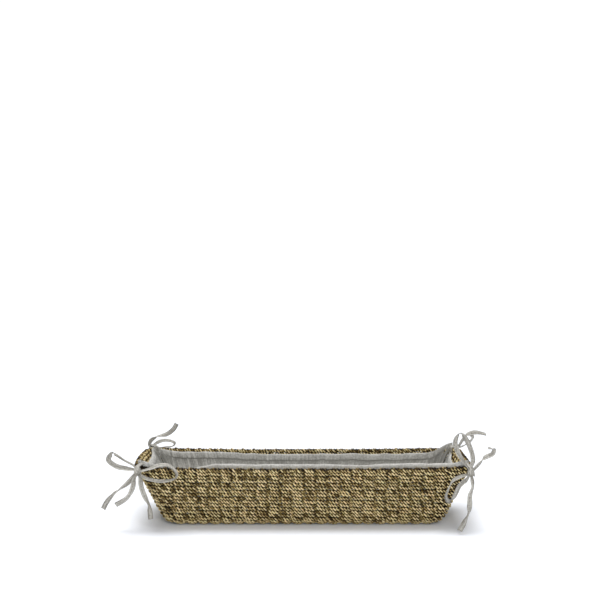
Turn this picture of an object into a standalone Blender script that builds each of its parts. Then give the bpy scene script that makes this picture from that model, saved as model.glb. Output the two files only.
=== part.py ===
"""Long bread basket of twined seagrass with a tied linen liner.

Metres, +Z up. The basket stands on z = 0 with the middle of its base at the origin and its
length along X. Each course of the wall, each panel of the liner and each part of the four bows
is an object of its own.
"""

import math

import bmesh
import bpy
from mathutils import Vector

COLLECTION_NAME = "bread_basket"

# Driving dimensions of the basket
RIM_HALF_LENGTH = 0.2537
RIM_HALF_WIDTH = 0.084
RIM_HEIGHT = 0.088
CORNER_LIFT = 0.003  # how much higher the rim is at its ends
LEFT_END_BOW = 0.006  # how far the middle of the left end stands out in plan
RIGHT_END_BOW = 0.001
END_LEAN = math.radians(27)
SIDE_LEAN = math.radians(8.4)
END_EDGE_RADIUS = 0.026  # rounding between base and wall
SIDE_EDGE_RADIUS = 0.015
BASE_CORNER_RADIUS = 0.014
CORNER_SPREAD_X = 0.36  # how fast the corners widen as the walls lean out
CORNER_SPREAD_Y = 0.36

# The weave
COURSES = 17
BORDER_HEIGHT = 0.0065
WALL_THICKNESS = 0.0055
COURSE_BULGE = 0.0011  # a course's middle stands this far out from its edges
STAKE_THICKNESS = 0.0015
STAKE_WIDTH = 0.0045
CORNER_ALLOWANCE = 0.02  # the rim's half length and width lose about this to the corners
STAKE_LEVELS = 5
STAKE_LEVEL_STEP = 0.42  # spacing of the lower levels, in edge radii up the wall
SIDE_STAKES = 22
END_STAKES = 5
CORNER_STAKES = 3
CORNER_STAKE_ANGLE = math.radians(9)
BORDER_OVERHANG = 0.0006

# The liner
CLOTH_THICKNESS = 0.0012
SEAM_ANGLE = math.radians(44)  # how far round a corner a panel runs
HEM_ANGLE = math.radians(30)  # how far round a corner a hem runs
FLOOR_CLEARANCE = 0.004  # from the liner's floor to the start of its walls
HEM_THICKNESS = 0.006
HEM_HEIGHT = 0.009
PANEL_TOP = 0.079
BACK_HEM_MIDDLE = 0.0825
FRONT_HEM_MIDDLE = 0.0875
END_HEM_MIDDLE = 0.0825
PANEL_BEND = 1.5  # where a panel's lower rounding ends, in edge radii up the wall

# The ribbons
RIBBON_WIDTH = 0.008
RIBBON_THICKNESS = 0.0008
RIBBON_STEP = 0.006  # length of one piece of a ribbon's strip
STRAP_WIDTH = 0.007
STRAP_DEPTH = 0.0125  # how far inside the rim's outer edge a strap starts
STRAP_RISE = 0.003  # how far a strap passes above the rim

GAP = 0.0003
MM = 0.001
HAIR = 1e-4  # keeps a corner's first and last angles off those of the straight stretches
CORNER_STEPS = 4
RIGHT, BACK, LEFT, FRONT = 0.0, math.pi / 2, math.pi, 3 * math.pi / 2

SEAGRASS = ((0.24, 0.17, 0.06), 0.75)
DARK_SEAGRASS = ((0.13, 0.095, 0.035), 0.8)
LINEN = ((0.42, 0.41, 0.38), 0.9)
RIBBON_LINEN = ((0.5, 0.48, 0.44), 0.9)


def clear_scene():
    for item in list(bpy.data.objects):
        bpy.data.objects.remove(item, do_unlink=True)


def make_material(name, look):
    colour, roughness = look
    material = bpy.data.materials.new(name)
    material.use_nodes = True
    shader = material.node_tree.nodes["Principled BSDF"]
    shader.inputs["Base Color"].default_value = (*colour, 1.0)
    shader.inputs["Roughness"].default_value = roughness
    shader.inputs["Metallic"].default_value = 0.0
    material.diffuse_color = (*colour, 1.0)
    return material


def add_object(name, mesh, look):
    item = bpy.data.objects.new(name, mesh)
    mesh.materials.append(make_material(name, look))
    bpy.data.collections[COLLECTION_NAME].objects.link(item)
    return item


def add_solidify(item, thickness, offset=0.0):
    shell = item.modifiers.new("thickness", "SOLIDIFY")
    shell.thickness = thickness
    shell.offset = offset
    shell.use_even_offset = False


# ---- The shape of the wall -------------------------------------------------------------------


def profile(height, lean, edge_radius):
    """How far the wall stands out from the flat base at a height, and its outward normal.

    The normal is (horizontal share, vertical share).
    """
    tangent_height = edge_radius * (1 - math.sin(lean))
    if height < tangent_height:
        rise = edge_radius - height
        reach = math.sqrt(edge_radius**2 - rise**2)
        return reach, (reach / edge_radius, -rise / edge_radius)
    reach = edge_radius * math.cos(lean) + (height - tangent_height) * math.tan(lean)
    return reach, (math.cos(lean), -math.sin(lean))


def height_along_side(distance):
    """Height of the side wall at a distance measured up its outer face from the base."""
    arc_angle = math.pi / 2 - SIDE_LEAN
    arc_length = SIDE_EDGE_RADIUS * arc_angle
    if distance < arc_length:
        return SIDE_EDGE_RADIUS * (1 - math.cos(distance / SIDE_EDGE_RADIUS))
    arc_height = SIDE_EDGE_RADIUS * (1 - math.cos(arc_angle))
    return arc_height + (distance - arc_length) * math.cos(SIDE_LEAN)


def side_length():
    """Length of the side wall's outer face, from the base to the rim."""
    arc_angle = math.pi / 2 - SIDE_LEAN
    arc_height = SIDE_EDGE_RADIUS * (1 - math.cos(arc_angle))
    return SIDE_EDGE_RADIUS * arc_angle + (RIM_HEIGHT - arc_height) / math.cos(SIDE_LEAN)


END_REACH = profile(RIM_HEIGHT, END_LEAN, END_EDGE_RADIUS)[0]
SIDE_REACH = profile(RIM_HEIGHT, SIDE_LEAN, SIDE_EDGE_RADIUS)[0]
BASE_HALF_LENGTH = RIM_HALF_LENGTH - END_REACH
BASE_HALF_WIDTH = RIM_HALF_WIDTH - SIDE_REACH


def outline_point(height, angle, share):
    """A point of the wall's outer outline at a height, with its outward normal.

    angle is the plan direction that the outline faces, 0 towards +X. Along the straight
    stretches it stands still, and share runs from 0 to 1 along them.
    """
    end_reach, end_normal = profile(height, END_LEAN, END_EDGE_RADIUS)
    side_reach, side_normal = profile(height, SIDE_LEAN, SIDE_EDGE_RADIUS)
    half_length = BASE_HALF_LENGTH + end_reach
    half_width = BASE_HALF_WIDTH + side_reach
    corner_x = BASE_CORNER_RADIUS + CORNER_SPREAD_X * end_reach
    corner_y = BASE_CORNER_RADIUS + CORNER_SPREAD_Y * side_reach
    across, along = math.cos(angle), math.sin(angle)
    x = corner_x * across + math.copysign(half_length - corner_x, across)
    y = corner_y * along + math.copysign(half_width - corner_y, along)
    if abs(along) < 1e-6:
        y = (half_width - corner_y) * (2 * share - 1) * math.copysign(1, across)
    if abs(across) < 1e-6:
        x = (half_length - corner_x) * (1 - 2 * share) * math.copysign(1, along)
    plan = Vector((across / corner_x, along / corner_y)).normalized()
    level = height / RIM_HEIGHT
    bow = RIGHT_END_BOW if across > 0 else LEFT_END_BOW
    x += math.copysign(bow * level * across**2 * (1 - (y / half_width) ** 2), across)
    lift = CORNER_LIFT * level * (x / RIM_HALF_LENGTH) ** 2
    blend = plan.x**2
    flat = end_normal[0] * blend + side_normal[0] * (1 - blend)
    drop = end_normal[1] * blend + side_normal[1] * (1 - blend)
    normal = Vector((plan.x * flat, plan.y * flat, drop)).normalized()
    return Vector((x, y, height + lift)), normal


def wall_point(height, station, depth, tilt=1.0):
    """A point a depth inward from the wall's outer face, square to it or level at tilt 0."""
    point, normal = outline_point(height, *station)
    inward = Vector((-normal.x, -normal.y, -normal.z * tilt)).normalized()
    return point + inward * depth


def straight(angle, shares):
    return [(angle, share) for share in shares]


def corner(angle, steps):
    """Stations round the corner that starts at a plan angle, with the straights' ends."""
    turns = [HAIR] + [math.pi / 2 * i / steps for i in range(1, steps)] + [math.pi / 2 - HAIR]
    return [(angle + turn, 0.5) for turn in turns]


def evenly(count):
    return [(i + 1) / (count + 1) for i in range(count)]


def ring_stations():
    """Stations once round the wall, counter-clockwise from the right end."""
    stations = []
    for side, count in ((RIGHT, 2), (BACK, 3), (LEFT, 2), (FRONT, 3)):
        stations += straight(side, evenly(count)) + corner(side, CORNER_STEPS)
    return stations


def section_ring(name, section, look):
    """A closed ring swept round the wall. Its section is a loop of (height, depth, tilt)."""
    mesh = bpy.data.meshes.new(name)
    work = bmesh.new()
    stations = ring_stations()
    rows = [[work.verts.new(wall_point(h, s, d, t)) for h, d, t in section] for s in stations]
    count = len(section)
    for i, row in enumerate(rows):
        following = rows[(i + 1) % len(rows)]
        for j in range(count):
            k = (j + 1) % count
            work.faces.new((row[j], following[j], following[k], row[k]))
    bmesh.ops.recalc_face_normals(work, faces=work.faces)
    work.to_mesh(mesh)
    work.free()
    return add_object(name, mesh, look)


def build_courses():
    """The twined courses of the wall, one ring above another."""
    pitch = (side_length() - BORDER_HEIGHT) / COURSES
    for i in range(COURSES):
        low = height_along_side(i * pitch + GAP / 2)
        middle = height_along_side((i + 0.5) * pitch)
        high = height_along_side((i + 1) * pitch - GAP / 2)
        section = (
            (low, COURSE_BULGE, 1.0),
            (middle, 0.0, 1.0),
            (high, COURSE_BULGE, 1.0),
            (high, WALL_THICKNESS - COURSE_BULGE, 1.0),
            (middle, WALL_THICKNESS, 1.0),
            (low, WALL_THICKNESS - COURSE_BULGE, 1.0),
        )
        section_ring(f"wall_course_{i + 1:02d}", section, SEAGRASS)


def build_border():
    """The rolled border that finishes the rim and caps the stakes."""
    low = height_along_side(side_length() - BORDER_HEIGHT + GAP / 2)
    middle = height_along_side(side_length() - BORDER_HEIGHT / 2)
    inner = WALL_THICKNESS + GAP + STAKE_THICKNESS + BORDER_OVERHANG
    section = (
        (low, COURSE_BULGE, 1.0),
        (middle, -BORDER_OVERHANG, 0.5),
        (RIM_HEIGHT, COURSE_BULGE, 0.0),
        (RIM_HEIGHT, inner - COURSE_BULGE, 0.0),
        (middle, inner, 0.5),
        (low, inner - COURSE_BULGE, 1.0),
    )
    section_ring("rim_border", section, SEAGRASS)


def base_outline(inset):
    """The base's outline, drawn in from the first course by an inset."""
    return [wall_point(0.0, s, 0.0) - plan_normal(s) * inset for s in ring_stations()]


def plan_normal(station):
    normal = outline_point(RIM_HEIGHT, *station)[1]
    return Vector((normal.x, normal.y, 0.0)).normalized()


def build_base():
    """The base mat, a flat slab inside the first course."""
    outline = bpy.data.curves.new("base_mat", "CURVE")
    outline.dimensions = "2D"
    outline.fill_mode = "BOTH"
    outline.extrude = WALL_THICKNESS / 2
    points = base_outline(GAP)
    spline = outline.splines.new("POLY")
    spline.points.add(len(points) - 1)
    for place, point in zip(spline.points, points):
        place.co = (point.x, point.y, 0.0, 1.0)
    spline.use_cyclic_u = True
    curve = bpy.data.objects.new("base_outline", outline)
    curve.location.z = WALL_THICKNESS / 2
    bpy.data.collections[COLLECTION_NAME].objects.link(curve)
    bpy.context.view_layer.update()
    evaluated = curve.evaluated_get(bpy.context.evaluated_depsgraph_get())
    mesh = bpy.data.meshes.new_from_object(evaluated)
    work = bmesh.new()
    work.from_mesh(mesh)
    bmesh.ops.remove_doubles(work, verts=work.verts, dist=GAP / 10)
    bmesh.ops.recalc_face_normals(work, faces=work.faces)
    work.to_mesh(mesh)
    work.free()
    slab = add_object("base_mat", mesh, SEAGRASS)
    slab.matrix_world = curve.matrix_world
    bpy.data.objects.remove(curve, do_unlink=True)


def stake_stations():
    """Pairs of stations, the two edges of each stake, once round the wall."""
    pairs = []
    long_step = 1 / SIDE_STAKES
    end_step = 1 / END_STAKES
    long_half = STAKE_WIDTH / 4 / (RIM_HALF_LENGTH - CORNER_ALLOWANCE)
    end_half = STAKE_WIDTH / 4 / (RIM_HALF_WIDTH - CORNER_ALLOWANCE)
    turn = math.pi / 2 / (CORNER_STAKES + 1)
    corner_half = CORNER_STAKE_ANGLE / 2
    sides = (
        (RIGHT, END_STAKES, end_step, end_half),
        (BACK, SIDE_STAKES, long_step, long_half),
        (LEFT, END_STAKES, end_step, end_half),
        (FRONT, SIDE_STAKES, long_step, long_half),
    )
    for side, count, step, half in sides:
        for i in range(count):
            middle = (i + 0.5) * step
            pairs.append(((side, middle - half), (side, middle + half)))
        for i in range(CORNER_STAKES):
            middle = side + (i + 1) * turn
            pairs.append(((middle - corner_half, 0.5), (middle + corner_half, 0.5)))
    return pairs


def build_stakes():
    """The stakes inside the courses, crossing in the base and running up every wall."""
    depth = WALL_THICKNESS + GAP + STAKE_THICKNESS / 2
    top = height_along_side(side_length() - BORDER_HEIGHT - GAP)
    levels = [0.0]
    for i in range(1, STAKE_LEVELS):
        levels.append(height_along_side(SIDE_EDGE_RADIUS * i * STAKE_LEVEL_STEP))
    levels.append(top)
    mesh = bpy.data.meshes.new("stake_lattice")
    work = bmesh.new()
    rim = []
    for pair in stake_stations():
        columns = [[work.verts.new(wall_point(h, s, depth)) for h in levels] for s in pair]
        for j in range(len(levels) - 1):
            left, right = columns
            work.faces.new((left[j], right[j], right[j + 1], left[j + 1]))
        rim += [columns[0][0], columns[1][0]]
    work.faces.new(rim)
    bmesh.ops.recalc_face_normals(work, faces=work.faces)
    work.to_mesh(mesh)
    work.free()
    item = add_object("stake_lattice", mesh, DARK_SEAGRASS)
    add_solidify(item, STAKE_THICKNESS)


# ---- The liner -------------------------------------------------------------------------------

LINER_DEPTH = WALL_THICKNESS + STAKE_THICKNESS + 2 * GAP + CLOTH_THICKNESS / 2


def panel_stations(side, count):
    """Stations of one liner panel: half a corner, a straight stretch, half a corner."""
    before = [(side - turn, 0.5) for turn in (SEAM_ANGLE, SEAM_ANGLE / 2, HAIR)]
    after = [(side + turn, 0.5) for turn in (HAIR, SEAM_ANGLE / 2, SEAM_ANGLE)]
    return before + straight(side, evenly(count)) + after


def build_panel(name, side, count):
    """One wall panel of the liner, a bent sheet against the stakes."""
    start = height_along_side(FLOOR_CLEARANCE)
    bend = height_along_side(SIDE_EDGE_RADIUS * PANEL_BEND)
    levels = [start + (bend - start) * i / 3 for i in range(3)]
    levels += [bend + (PANEL_TOP - bend) * i / 2 for i in range(3)]
    mesh = bpy.data.meshes.new(name)
    work = bmesh.new()
    stations = panel_stations(side, count)
    rows = [[work.verts.new(wall_point(h, s, LINER_DEPTH)) for h in levels] for s in stations]
    for row, following in zip(rows, rows[1:]):
        for j in range(len(levels) - 1):
            work.faces.new((row[j], following[j], following[j + 1], row[j + 1]))
    work.to_mesh(mesh)
    work.free()
    item = add_object(name, mesh, LINEN)
    add_solidify(item, CLOTH_THICKNESS)


def build_liner_floor():
    """The liner's floor, a flat sheet on the stakes."""
    mesh = bpy.data.meshes.new("liner_floor")
    work = bmesh.new()
    height = WALL_THICKNESS + STAKE_THICKNESS + 2 * GAP + CLOTH_THICKNESS / 2
    outline = base_outline(0.0)
    ring = [work.verts.new((point.x, point.y, height)) for point in outline]
    work.faces.new(ring)
    work.to_mesh(mesh)
    work.free()
    item = add_object("liner_floor", mesh, LINEN)
    add_solidify(item, CLOTH_THICKNESS)


def build_hem(name, side, count, middle):
    """The puffed double hem along the top of one liner panel."""
    near = (LINER_DEPTH + CLOTH_THICKNESS / 2 + GAP) / math.cos(END_LEAN)
    section = []
    for i in range(6):
        angle = math.pi / 3 * i
        height = middle + HEM_HEIGHT / 2 * math.sin(angle)
        section.append((height, near + HEM_THICKNESS / 2 * (1 - math.cos(angle))))
    mesh = bpy.data.meshes.new(name)
    work = bmesh.new()
    stations = [(side - HEM_ANGLE, 0.5), (side - HAIR, 0.5)]
    stations += straight(side, evenly(count))
    stations += [(side + HAIR, 0.5), (side + HEM_ANGLE, 0.5)]
    rows = [[work.verts.new(wall_point(h, s, d, 0.0)) for h, d in section] for s in stations]
    for row, following in zip(rows, rows[1:]):
        for j in range(len(section)):
            k = (j + 1) % len(section)
            work.faces.new((row[j], following[j], following[k], row[k]))
    work.faces.new(rows[0])
    work.faces.new(rows[-1])
    bmesh.ops.recalc_face_normals(work, faces=work.faces)
    work.to_mesh(mesh)
    work.free()
    add_object(name, mesh, LINEN)


def build_liner():
    build_liner_floor()
    for name, side, count, hem_middle in (
        ("end_right", RIGHT, 2, END_HEM_MIDDLE),
        ("back", BACK, 5, BACK_HEM_MIDDLE),
        ("end_left", LEFT, 2, END_HEM_MIDDLE),
        ("front", FRONT, 5, FRONT_HEM_MIDDLE),
    ):
        build_panel(f"liner_{name}", side, count)
        build_hem(f"liner_hem_{name}", side, count, hem_middle)


# ---- The ribbons -----------------------------------------------------------------------------

# Each ribbon is a list of places on its middle line, in millimetres, and the direction across
# its width at each place.
RIBBONS = {
    "front_left_loop_outer": (
        ((-250, -86, 88), (0.1, 1.0, 0.4)),
        ((-260, -89, 90), (0.0, 0.6, 0.8)),
        ((-275, -92, 94), (0.2, 0.2, 1.0)),
        ((-287, -91, 103), (0.8, 0.3, 0.4)),
        ((-283, -86, 111), (0.6, 0.5, -0.2)),
        ((-276, -82, 108), (0.4, 0.9, -0.1)),
        ((-266, -79, 100), (0.3, 1.0, -0.1)),
        ((-253, -79, 93), (0.1, 1.0, 0.2)),
    ),
    "front_left_loop_inner": (
        ((-240, -89, 86), (0.0, 1.0, 0.3)),
        ((-224, -91, 91), (0.0, 1.0, 0.4)),
        ((-211, -92, 96), (0.0, 1.0, 0.4)),
        ((-199, -92, 95), (0.2, 1.0, 0.3)),
        ((-190, -92, 88), (0.3, 1.0, 0.1)),
        ((-187, -92, 80), (0.3, 1.0, 0.0)),
        ((-194, -92, 74), (0.1, 1.0, 0.3)),
        ((-211, -92, 72), (0.0, 1.0, 0.4)),
        ((-228, -92, 75), (0.0, 1.0, 0.4)),
        ((-239, -90, 80), (0.0, 1.0, 0.3)),
    ),
    "front_left_tail_long": (
        ((-251, -87, 79), (0.9, 0.2, -0.5)),
        ((-259, -90, 69), (0.8, 0.3, -0.6)),
        ((-270, -92, 61), (0.2, 1.0, -0.3)),
        ((-279, -92, 54), (-0.4, 0.9, 0.4)),
        ((-290, -91, 41), (-0.9, 0.3, 0.5)),
        ((-296, -90, 30), (-1.0, 0.1, 0.4)),
    ),
    "front_left_tail_short": (
        ((-249, -94, 76), (0.8, -0.6, 0.0)),
        ((-251, -98, 64), (1.0, 0.1, 0.1)),
        ((-256, -99, 53), (0.8, 0.6, -0.3)),
        ((-264, -98, 45), (0.5, 0.5, -0.7)),
        ((-276, -97, 38), (0.4, 0.3, -0.9)),
    ),
    "front_left_tail_inner": (
        ((-241, -90, 77), (1.0, 0.1, 0.1)),
        ((-239, -92, 63), (1.0, 0.2, 0.2)),
        ((-234, -92, 49), (0.9, 0.5, 0.2)),
        ((-229, -91, 38), (0.2, 1.0, 0.1)),
        ((-227, -90, 27), (0.9, 0.5, -0.1)),
        ((-226, -89, 15), (1.0, 0.1, -0.1)),
    ),
    "front_right_loop_upper": (
        ((241, -88, 92), (0.4, 1.0, 0.0)),
        ((234, -90, 101), (0.6, 1.0, 0.3)),
        ((226, -90, 114), (0.9, 0.6, 0.4)),
        ((222, -89, 130), (0.7, 0.7, 0.1)),
        ((230, -86, 141), (0.3, 1.0, 0.0)),
        ((240, -83, 130), (0.8, 0.6, 0.3)),
        ((247, -82, 114), (1.0, 0.1, 0.5)),
        ((249, -83, 101), (1.0, 0.2, 0.2)),
        ((247, -84, 93), (1.0, 0.3, 0.0)),
    ),
    "front_right_loop_lower": (
        ((239, -89, 81), (0.0, 1.0, 0.3)),
        ((227, -92, 78), (0.0, 1.0, 0.4)),
        ((217, -94, 72), (0.1, 1.0, 0.2)),
        ((211, -95, 60), (0.3, 1.0, 0.0)),
        ((208, -96, 49), (0.5, 1.0, 0.3)),
        ((213, -97, 43), (0.5, 0.7, 0.8)),
        ((220, -99, 51), (0.8, 0.5, -0.4)),
        ((226, -99, 64), (0.9, 0.3, -0.5)),
        ((233, -96, 71), (0.8, 0.4, -0.6)),
        ((239, -91, 74), (0.6, 0.5, -0.6)),
    ),
    "front_right_tail_up": (
        ((252, -86, 90), (0.7, 0.5, -0.5)),
        ((260, -87, 99), (0.5, 1.0, -0.4)),
        ((268, -87, 107), (-0.4, 0.6, 0.8)),
        ((277, -87, 111), (-0.5, 0.7, 0.6)),
        ((279, -86, 118), (-0.8, 0.8, 0.1)),
        ((271, -85, 120), (0.0, 1.0, 0.4)),
    ),
    "front_right_tail_down": (
        ((247, -91, 74), (1.0, 0.0, 0.0)),
        ((247, -95, 64), (0.6, 0.8, 0.0)),
        ((243, -98, 52), (0.9, 0.4, 0.1)),
        ((242, -102, 39), (1.0, 0.1, 0.1)),
        ((239, -107, 27), (0.5, 0.9, 0.1)),
        ((232, -114, 15), (0.9, 0.4, 0.2)),
        ((225, -120, 5), (1.0, 0.1, 0.1)),
    ),
    "back_left_loop": (
        ((-244, 89, 92), (0.0, 0.9, 0.5)),
        ((-234, 91, 98), (0.0, 0.8, 0.6)),
        ((-222, 92, 100), (0.1, 0.9, 0.5)),
        ((-211, 94, 96), (0.3, 1.0, 0.2)),
        ((-213, 98, 90), (0.4, 1.0, 0.0)),
        ((-224, 99, 87), (0.1, 1.0, 0.2)),
        ((-235, 97, 86), (0.0, 1.0, 0.2)),
        ((-243, 92, 86), (0.0, 1.0, 0.2)),
    ),
    "back_left_tail_up": (
        ((-250, 86, 94), (1.0, 0.4, -0.3)),
        ((-246, 86, 102), (0.8, 0.4, -0.6)),
        ((-234, 85, 108), (0.1, 1.0, 0.2)),
        ((-222, 84, 111), (-0.5, 0.4, 0.9)),
        ((-211, 83, 119), (-0.6, 0.2, 0.7)),
        ((-205, 82, 129), (-0.7, 0.3, 0.4)),
    ),
    "back_left_tail_down": (
        ((-249, 90, 80), (1.0, 0.4, 0.0)),
        ((-250, 95, 68), (1.0, 0.2, 0.0)),
        ((-247, 97, 54), (0.8, 0.6, 0.0)),
        ((-244, 97, 40), (1.0, 0.1, 0.1)),
        ((-245, 97, 28), (1.0, -0.1, 0.1)),
    ),
    "back_right_loop": (
        ((253, 90, 93), (0.7, 0.6, -0.5)),
        ((260, 91, 103), (0.6, 0.5, -0.6)),
        ((267, 92, 110), (0.5, 0.9, 0.2)),
        ((275, 94, 105), (0.6, 0.8, 0.3)),
        ((270, 98, 96), (0.6, 0.8, -0.3)),
        ((259, 97, 90), (0.1, 1.0, -0.2)),
        ((251, 92, 88), (0.0, 1.0, 0.0)),
    ),
    "back_right_tail_out": (
        ((253, 77, 97), (0.5, 1.0, 0.0)),
        ((257, 76, 105), (0.5, 0.8, -0.4)),
        ((264, 76, 112), (0.2, 0.8, 0.6)),
        ((275, 78, 115), (0.0, 0.5, 0.9)),
        ((285, 80, 114), (0.0, 0.8, 0.6)),
        ((294, 82, 111), (0.0, 1.0, 0.3)),
    ),
    "back_right_tail_down": (
        ((247, 90, 80), (1.0, -0.4, 0.0)),
        ((248, 95, 68), (1.0, -0.2, 0.0)),
        ((244, 97, 55), (0.7, -0.7, 0.0)),
        ((242, 98, 41), (1.0, 0.1, 0.1)),
        ((245, 98, 27), (1.0, 0.2, 0.1)),
    ),
}

# Middle of each knot in millimetres
KNOTS = {
    "front_left_knot": (-246, -84, 84),
    "front_right_knot": (246, -84, 83),
    "back_left_knot": (-246, 84, 86),
    "back_right_knot": (246, 84, 87),
}
KNOT_SIZE = (0.010, 0.009, 0.013)


def smooth_path(places, step):
    """Points a step apart on a smooth curve through the places, each with its width direction."""
    centres = [Vector(place) * MM for place, _ in places]
    widths = [Vector(width).normalized() for _, width in places]
    path = []
    for i in range(len(places) - 1):
        before, after = max(i - 1, 0), min(i + 2, len(places) - 1)
        span = (centres[i + 1] - centres[i]).length
        count = max(1, round(span / step))
        for j in range(count):
            share = j / count
            path.append(
                (
                    catmull(centres, before, i, i + 1, after, share),
                    catmull(widths, before, i, i + 1, after, share),
                )
            )
    path.append((centres[-1], widths[-1]))
    return path


def catmull(values, a, b, c, d, t):
    """A point between values b and c on the smooth curve through a, b, c and d."""
    p0, p1, p2, p3 = values[a], values[b], values[c], values[d]
    return 0.5 * (
        2 * p1
        + (p2 - p0) * t
        + (2 * p0 - 5 * p1 + 4 * p2 - p3) * t**2
        + (3 * p1 - p0 - 3 * p2 + p3) * t**3
    )


def build_strip(name, path, width):
    """A flat strip of cloth along a path, turned as the path says."""
    mesh = bpy.data.meshes.new(name)
    work = bmesh.new()
    rows = []
    for i, (centre, across) in enumerate(path):
        ahead = path[min(i + 1, len(path) - 1)][0] - path[max(i - 1, 0)][0]
        ahead.normalize()
        across = (across - ahead * across.dot(ahead)).normalized() * (width / 2)
        rows.append([work.verts.new(centre - across), work.verts.new(centre + across)])
    for row, following in zip(rows, rows[1:]):
        work.faces.new((row[0], row[1], following[1], following[0]))
    work.to_mesh(mesh)
    work.free()
    item = add_object(name, mesh, RIBBON_LINEN)
    add_solidify(item, RIBBON_THICKNESS)


def build_knot(name, middle):
    mesh = bpy.data.meshes.new(name)
    work = bmesh.new()
    bmesh.ops.create_uvsphere(work, u_segments=10, v_segments=6, radius=0.5)
    bmesh.ops.scale(work, vec=KNOT_SIZE, verts=work.verts)
    work.to_mesh(mesh)
    work.free()
    mesh.shade_smooth()
    item = add_object(name, mesh, RIBBON_LINEN)
    item.location = Vector(middle) * MM


def build_strap(name, angle, knot):
    """The strap from a liner corner over the rim to its knot."""
    height = RIM_HEIGHT
    outer, normal = outline_point(height, angle, 0.5)
    plan = Vector((normal.x, normal.y, 0.0)).normalized()
    across = Vector((-plan.y, plan.x, 0.0))
    up = Vector((0.0, 0.0, 1.0))
    top = Vector(knot) * MM + up * (KNOT_SIZE[2] / 2 + 2 * GAP)
    places = [
        outer - plan * STRAP_DEPTH - up * STRAP_RISE,
        outer - plan * STRAP_DEPTH + up * STRAP_RISE / 6,
        outer - plan * (STRAP_DEPTH - STRAP_RISE) + up * STRAP_RISE,
        outer + up * STRAP_RISE,
        top + up * STRAP_RISE / 3,
    ]
    path = [(place, across) for place in places]
    build_strip(name, path, STRAP_WIDTH)


def build_ribbons():
    for name, places in RIBBONS.items():
        build_strip(name, smooth_path(places, RIBBON_STEP), RIBBON_WIDTH)
    for name, middle in KNOTS.items():
        build_knot(name, middle)
    for side, angle in (
        ("front_left", LEFT + math.pi / 4),
        ("front_right", FRONT + math.pi / 4),
        ("back_left", BACK + math.pi / 4),
        ("back_right", RIGHT + math.pi / 4),
    ):
        build_strap(f"{side}_strap", angle, KNOTS[f"{side}_knot"])


def main():
    clear_scene()
    collection = bpy.data.collections.new(COLLECTION_NAME)
    bpy.context.scene.collection.children.link(collection)
    build_base()
    build_courses()
    build_border()
    build_stakes()
    build_liner()
    build_ribbons()


main()
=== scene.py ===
"""The looks of the bread basket: twined seagrass, a linen liner and four tied ribbon bows.

Metres, +Z up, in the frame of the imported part. The basket stands on z = 0, its length along X.
"""

import math

import bmesh
import bpy
import numpy as np
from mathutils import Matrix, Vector


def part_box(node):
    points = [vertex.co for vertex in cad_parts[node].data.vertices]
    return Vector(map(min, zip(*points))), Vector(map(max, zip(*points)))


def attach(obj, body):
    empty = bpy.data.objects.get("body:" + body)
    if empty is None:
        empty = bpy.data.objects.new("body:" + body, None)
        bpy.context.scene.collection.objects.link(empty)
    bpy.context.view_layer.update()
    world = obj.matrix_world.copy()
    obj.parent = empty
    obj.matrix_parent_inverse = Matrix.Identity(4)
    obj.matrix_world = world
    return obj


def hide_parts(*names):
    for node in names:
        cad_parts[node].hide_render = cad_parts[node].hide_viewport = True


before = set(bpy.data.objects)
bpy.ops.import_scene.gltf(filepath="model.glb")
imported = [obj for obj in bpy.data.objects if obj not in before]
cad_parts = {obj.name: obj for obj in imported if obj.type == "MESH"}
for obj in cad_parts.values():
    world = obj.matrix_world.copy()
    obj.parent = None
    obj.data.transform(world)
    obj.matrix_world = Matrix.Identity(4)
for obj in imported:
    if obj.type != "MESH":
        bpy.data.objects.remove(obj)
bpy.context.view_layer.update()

MM = 0.001
rng = np.random.default_rng(11)

# ---- The wall's shape, as in the frame ---------------------------------------------------------

RIM_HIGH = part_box("rim_border")[1]
BORDER_OVERHANG = 0.0006
LEFT_END_BOW, RIGHT_END_BOW = 0.006, 0.001  # how far the middle of an end stands out in plan
CORNER_LIFT = 0.003  # how much higher the rim is at its ends
RIM_HALF_LENGTH = RIM_HIGH[0] - RIGHT_END_BOW - BORDER_OVERHANG
RIM_HALF_WIDTH = RIM_HIGH[1] - BORDER_OVERHANG
RIM_HEIGHT = RIM_HIGH[2] - CORNER_LIFT
END_LEAN, SIDE_LEAN = math.radians(27), math.radians(8.4)
END_EDGE_RADIUS, SIDE_EDGE_RADIUS = 0.026, 0.015  # rounding between base and wall
BASE_CORNER_RADIUS = 0.014
CORNER_SPREAD = 0.36  # how fast the corners widen as the walls lean out
COURSES = 17
BORDER_HEIGHT = 0.0065

RIGHT, BACK, LEFT, FRONT = (i * math.pi / 2 for i in range(4))


def profile(height, lean, edge_radius):
    """How far the wall stands out from the base at each height, with its outward normal."""
    tangent_height = edge_radius * (1 - math.sin(lean))
    rise = edge_radius - np.minimum(height, tangent_height)
    round_reach = np.sqrt(edge_radius**2 - rise**2)
    reach = round_reach + np.maximum(height - tangent_height, 0) * math.tan(lean)
    return reach, round_reach / edge_radius, -rise / edge_radius


END_REACH = profile(RIM_HEIGHT, END_LEAN, END_EDGE_RADIUS)[0]
SIDE_REACH = profile(RIM_HEIGHT, SIDE_LEAN, SIDE_EDGE_RADIUS)[0]
BASE_HALF_LENGTH = RIM_HALF_LENGTH - END_REACH
BASE_HALF_WIDTH = RIM_HALF_WIDTH - SIDE_REACH
SIDE_ARC = SIDE_EDGE_RADIUS * (math.pi / 2 - SIDE_LEAN)
SIDE_ARC_HEIGHT = SIDE_EDGE_RADIUS * (1 - math.sin(SIDE_LEAN))
WALL_LENGTH = SIDE_ARC + (RIM_HEIGHT - SIDE_ARC_HEIGHT) / math.cos(SIDE_LEAN)
COURSE_PITCH = (WALL_LENGTH - BORDER_HEIGHT) / COURSES


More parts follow.
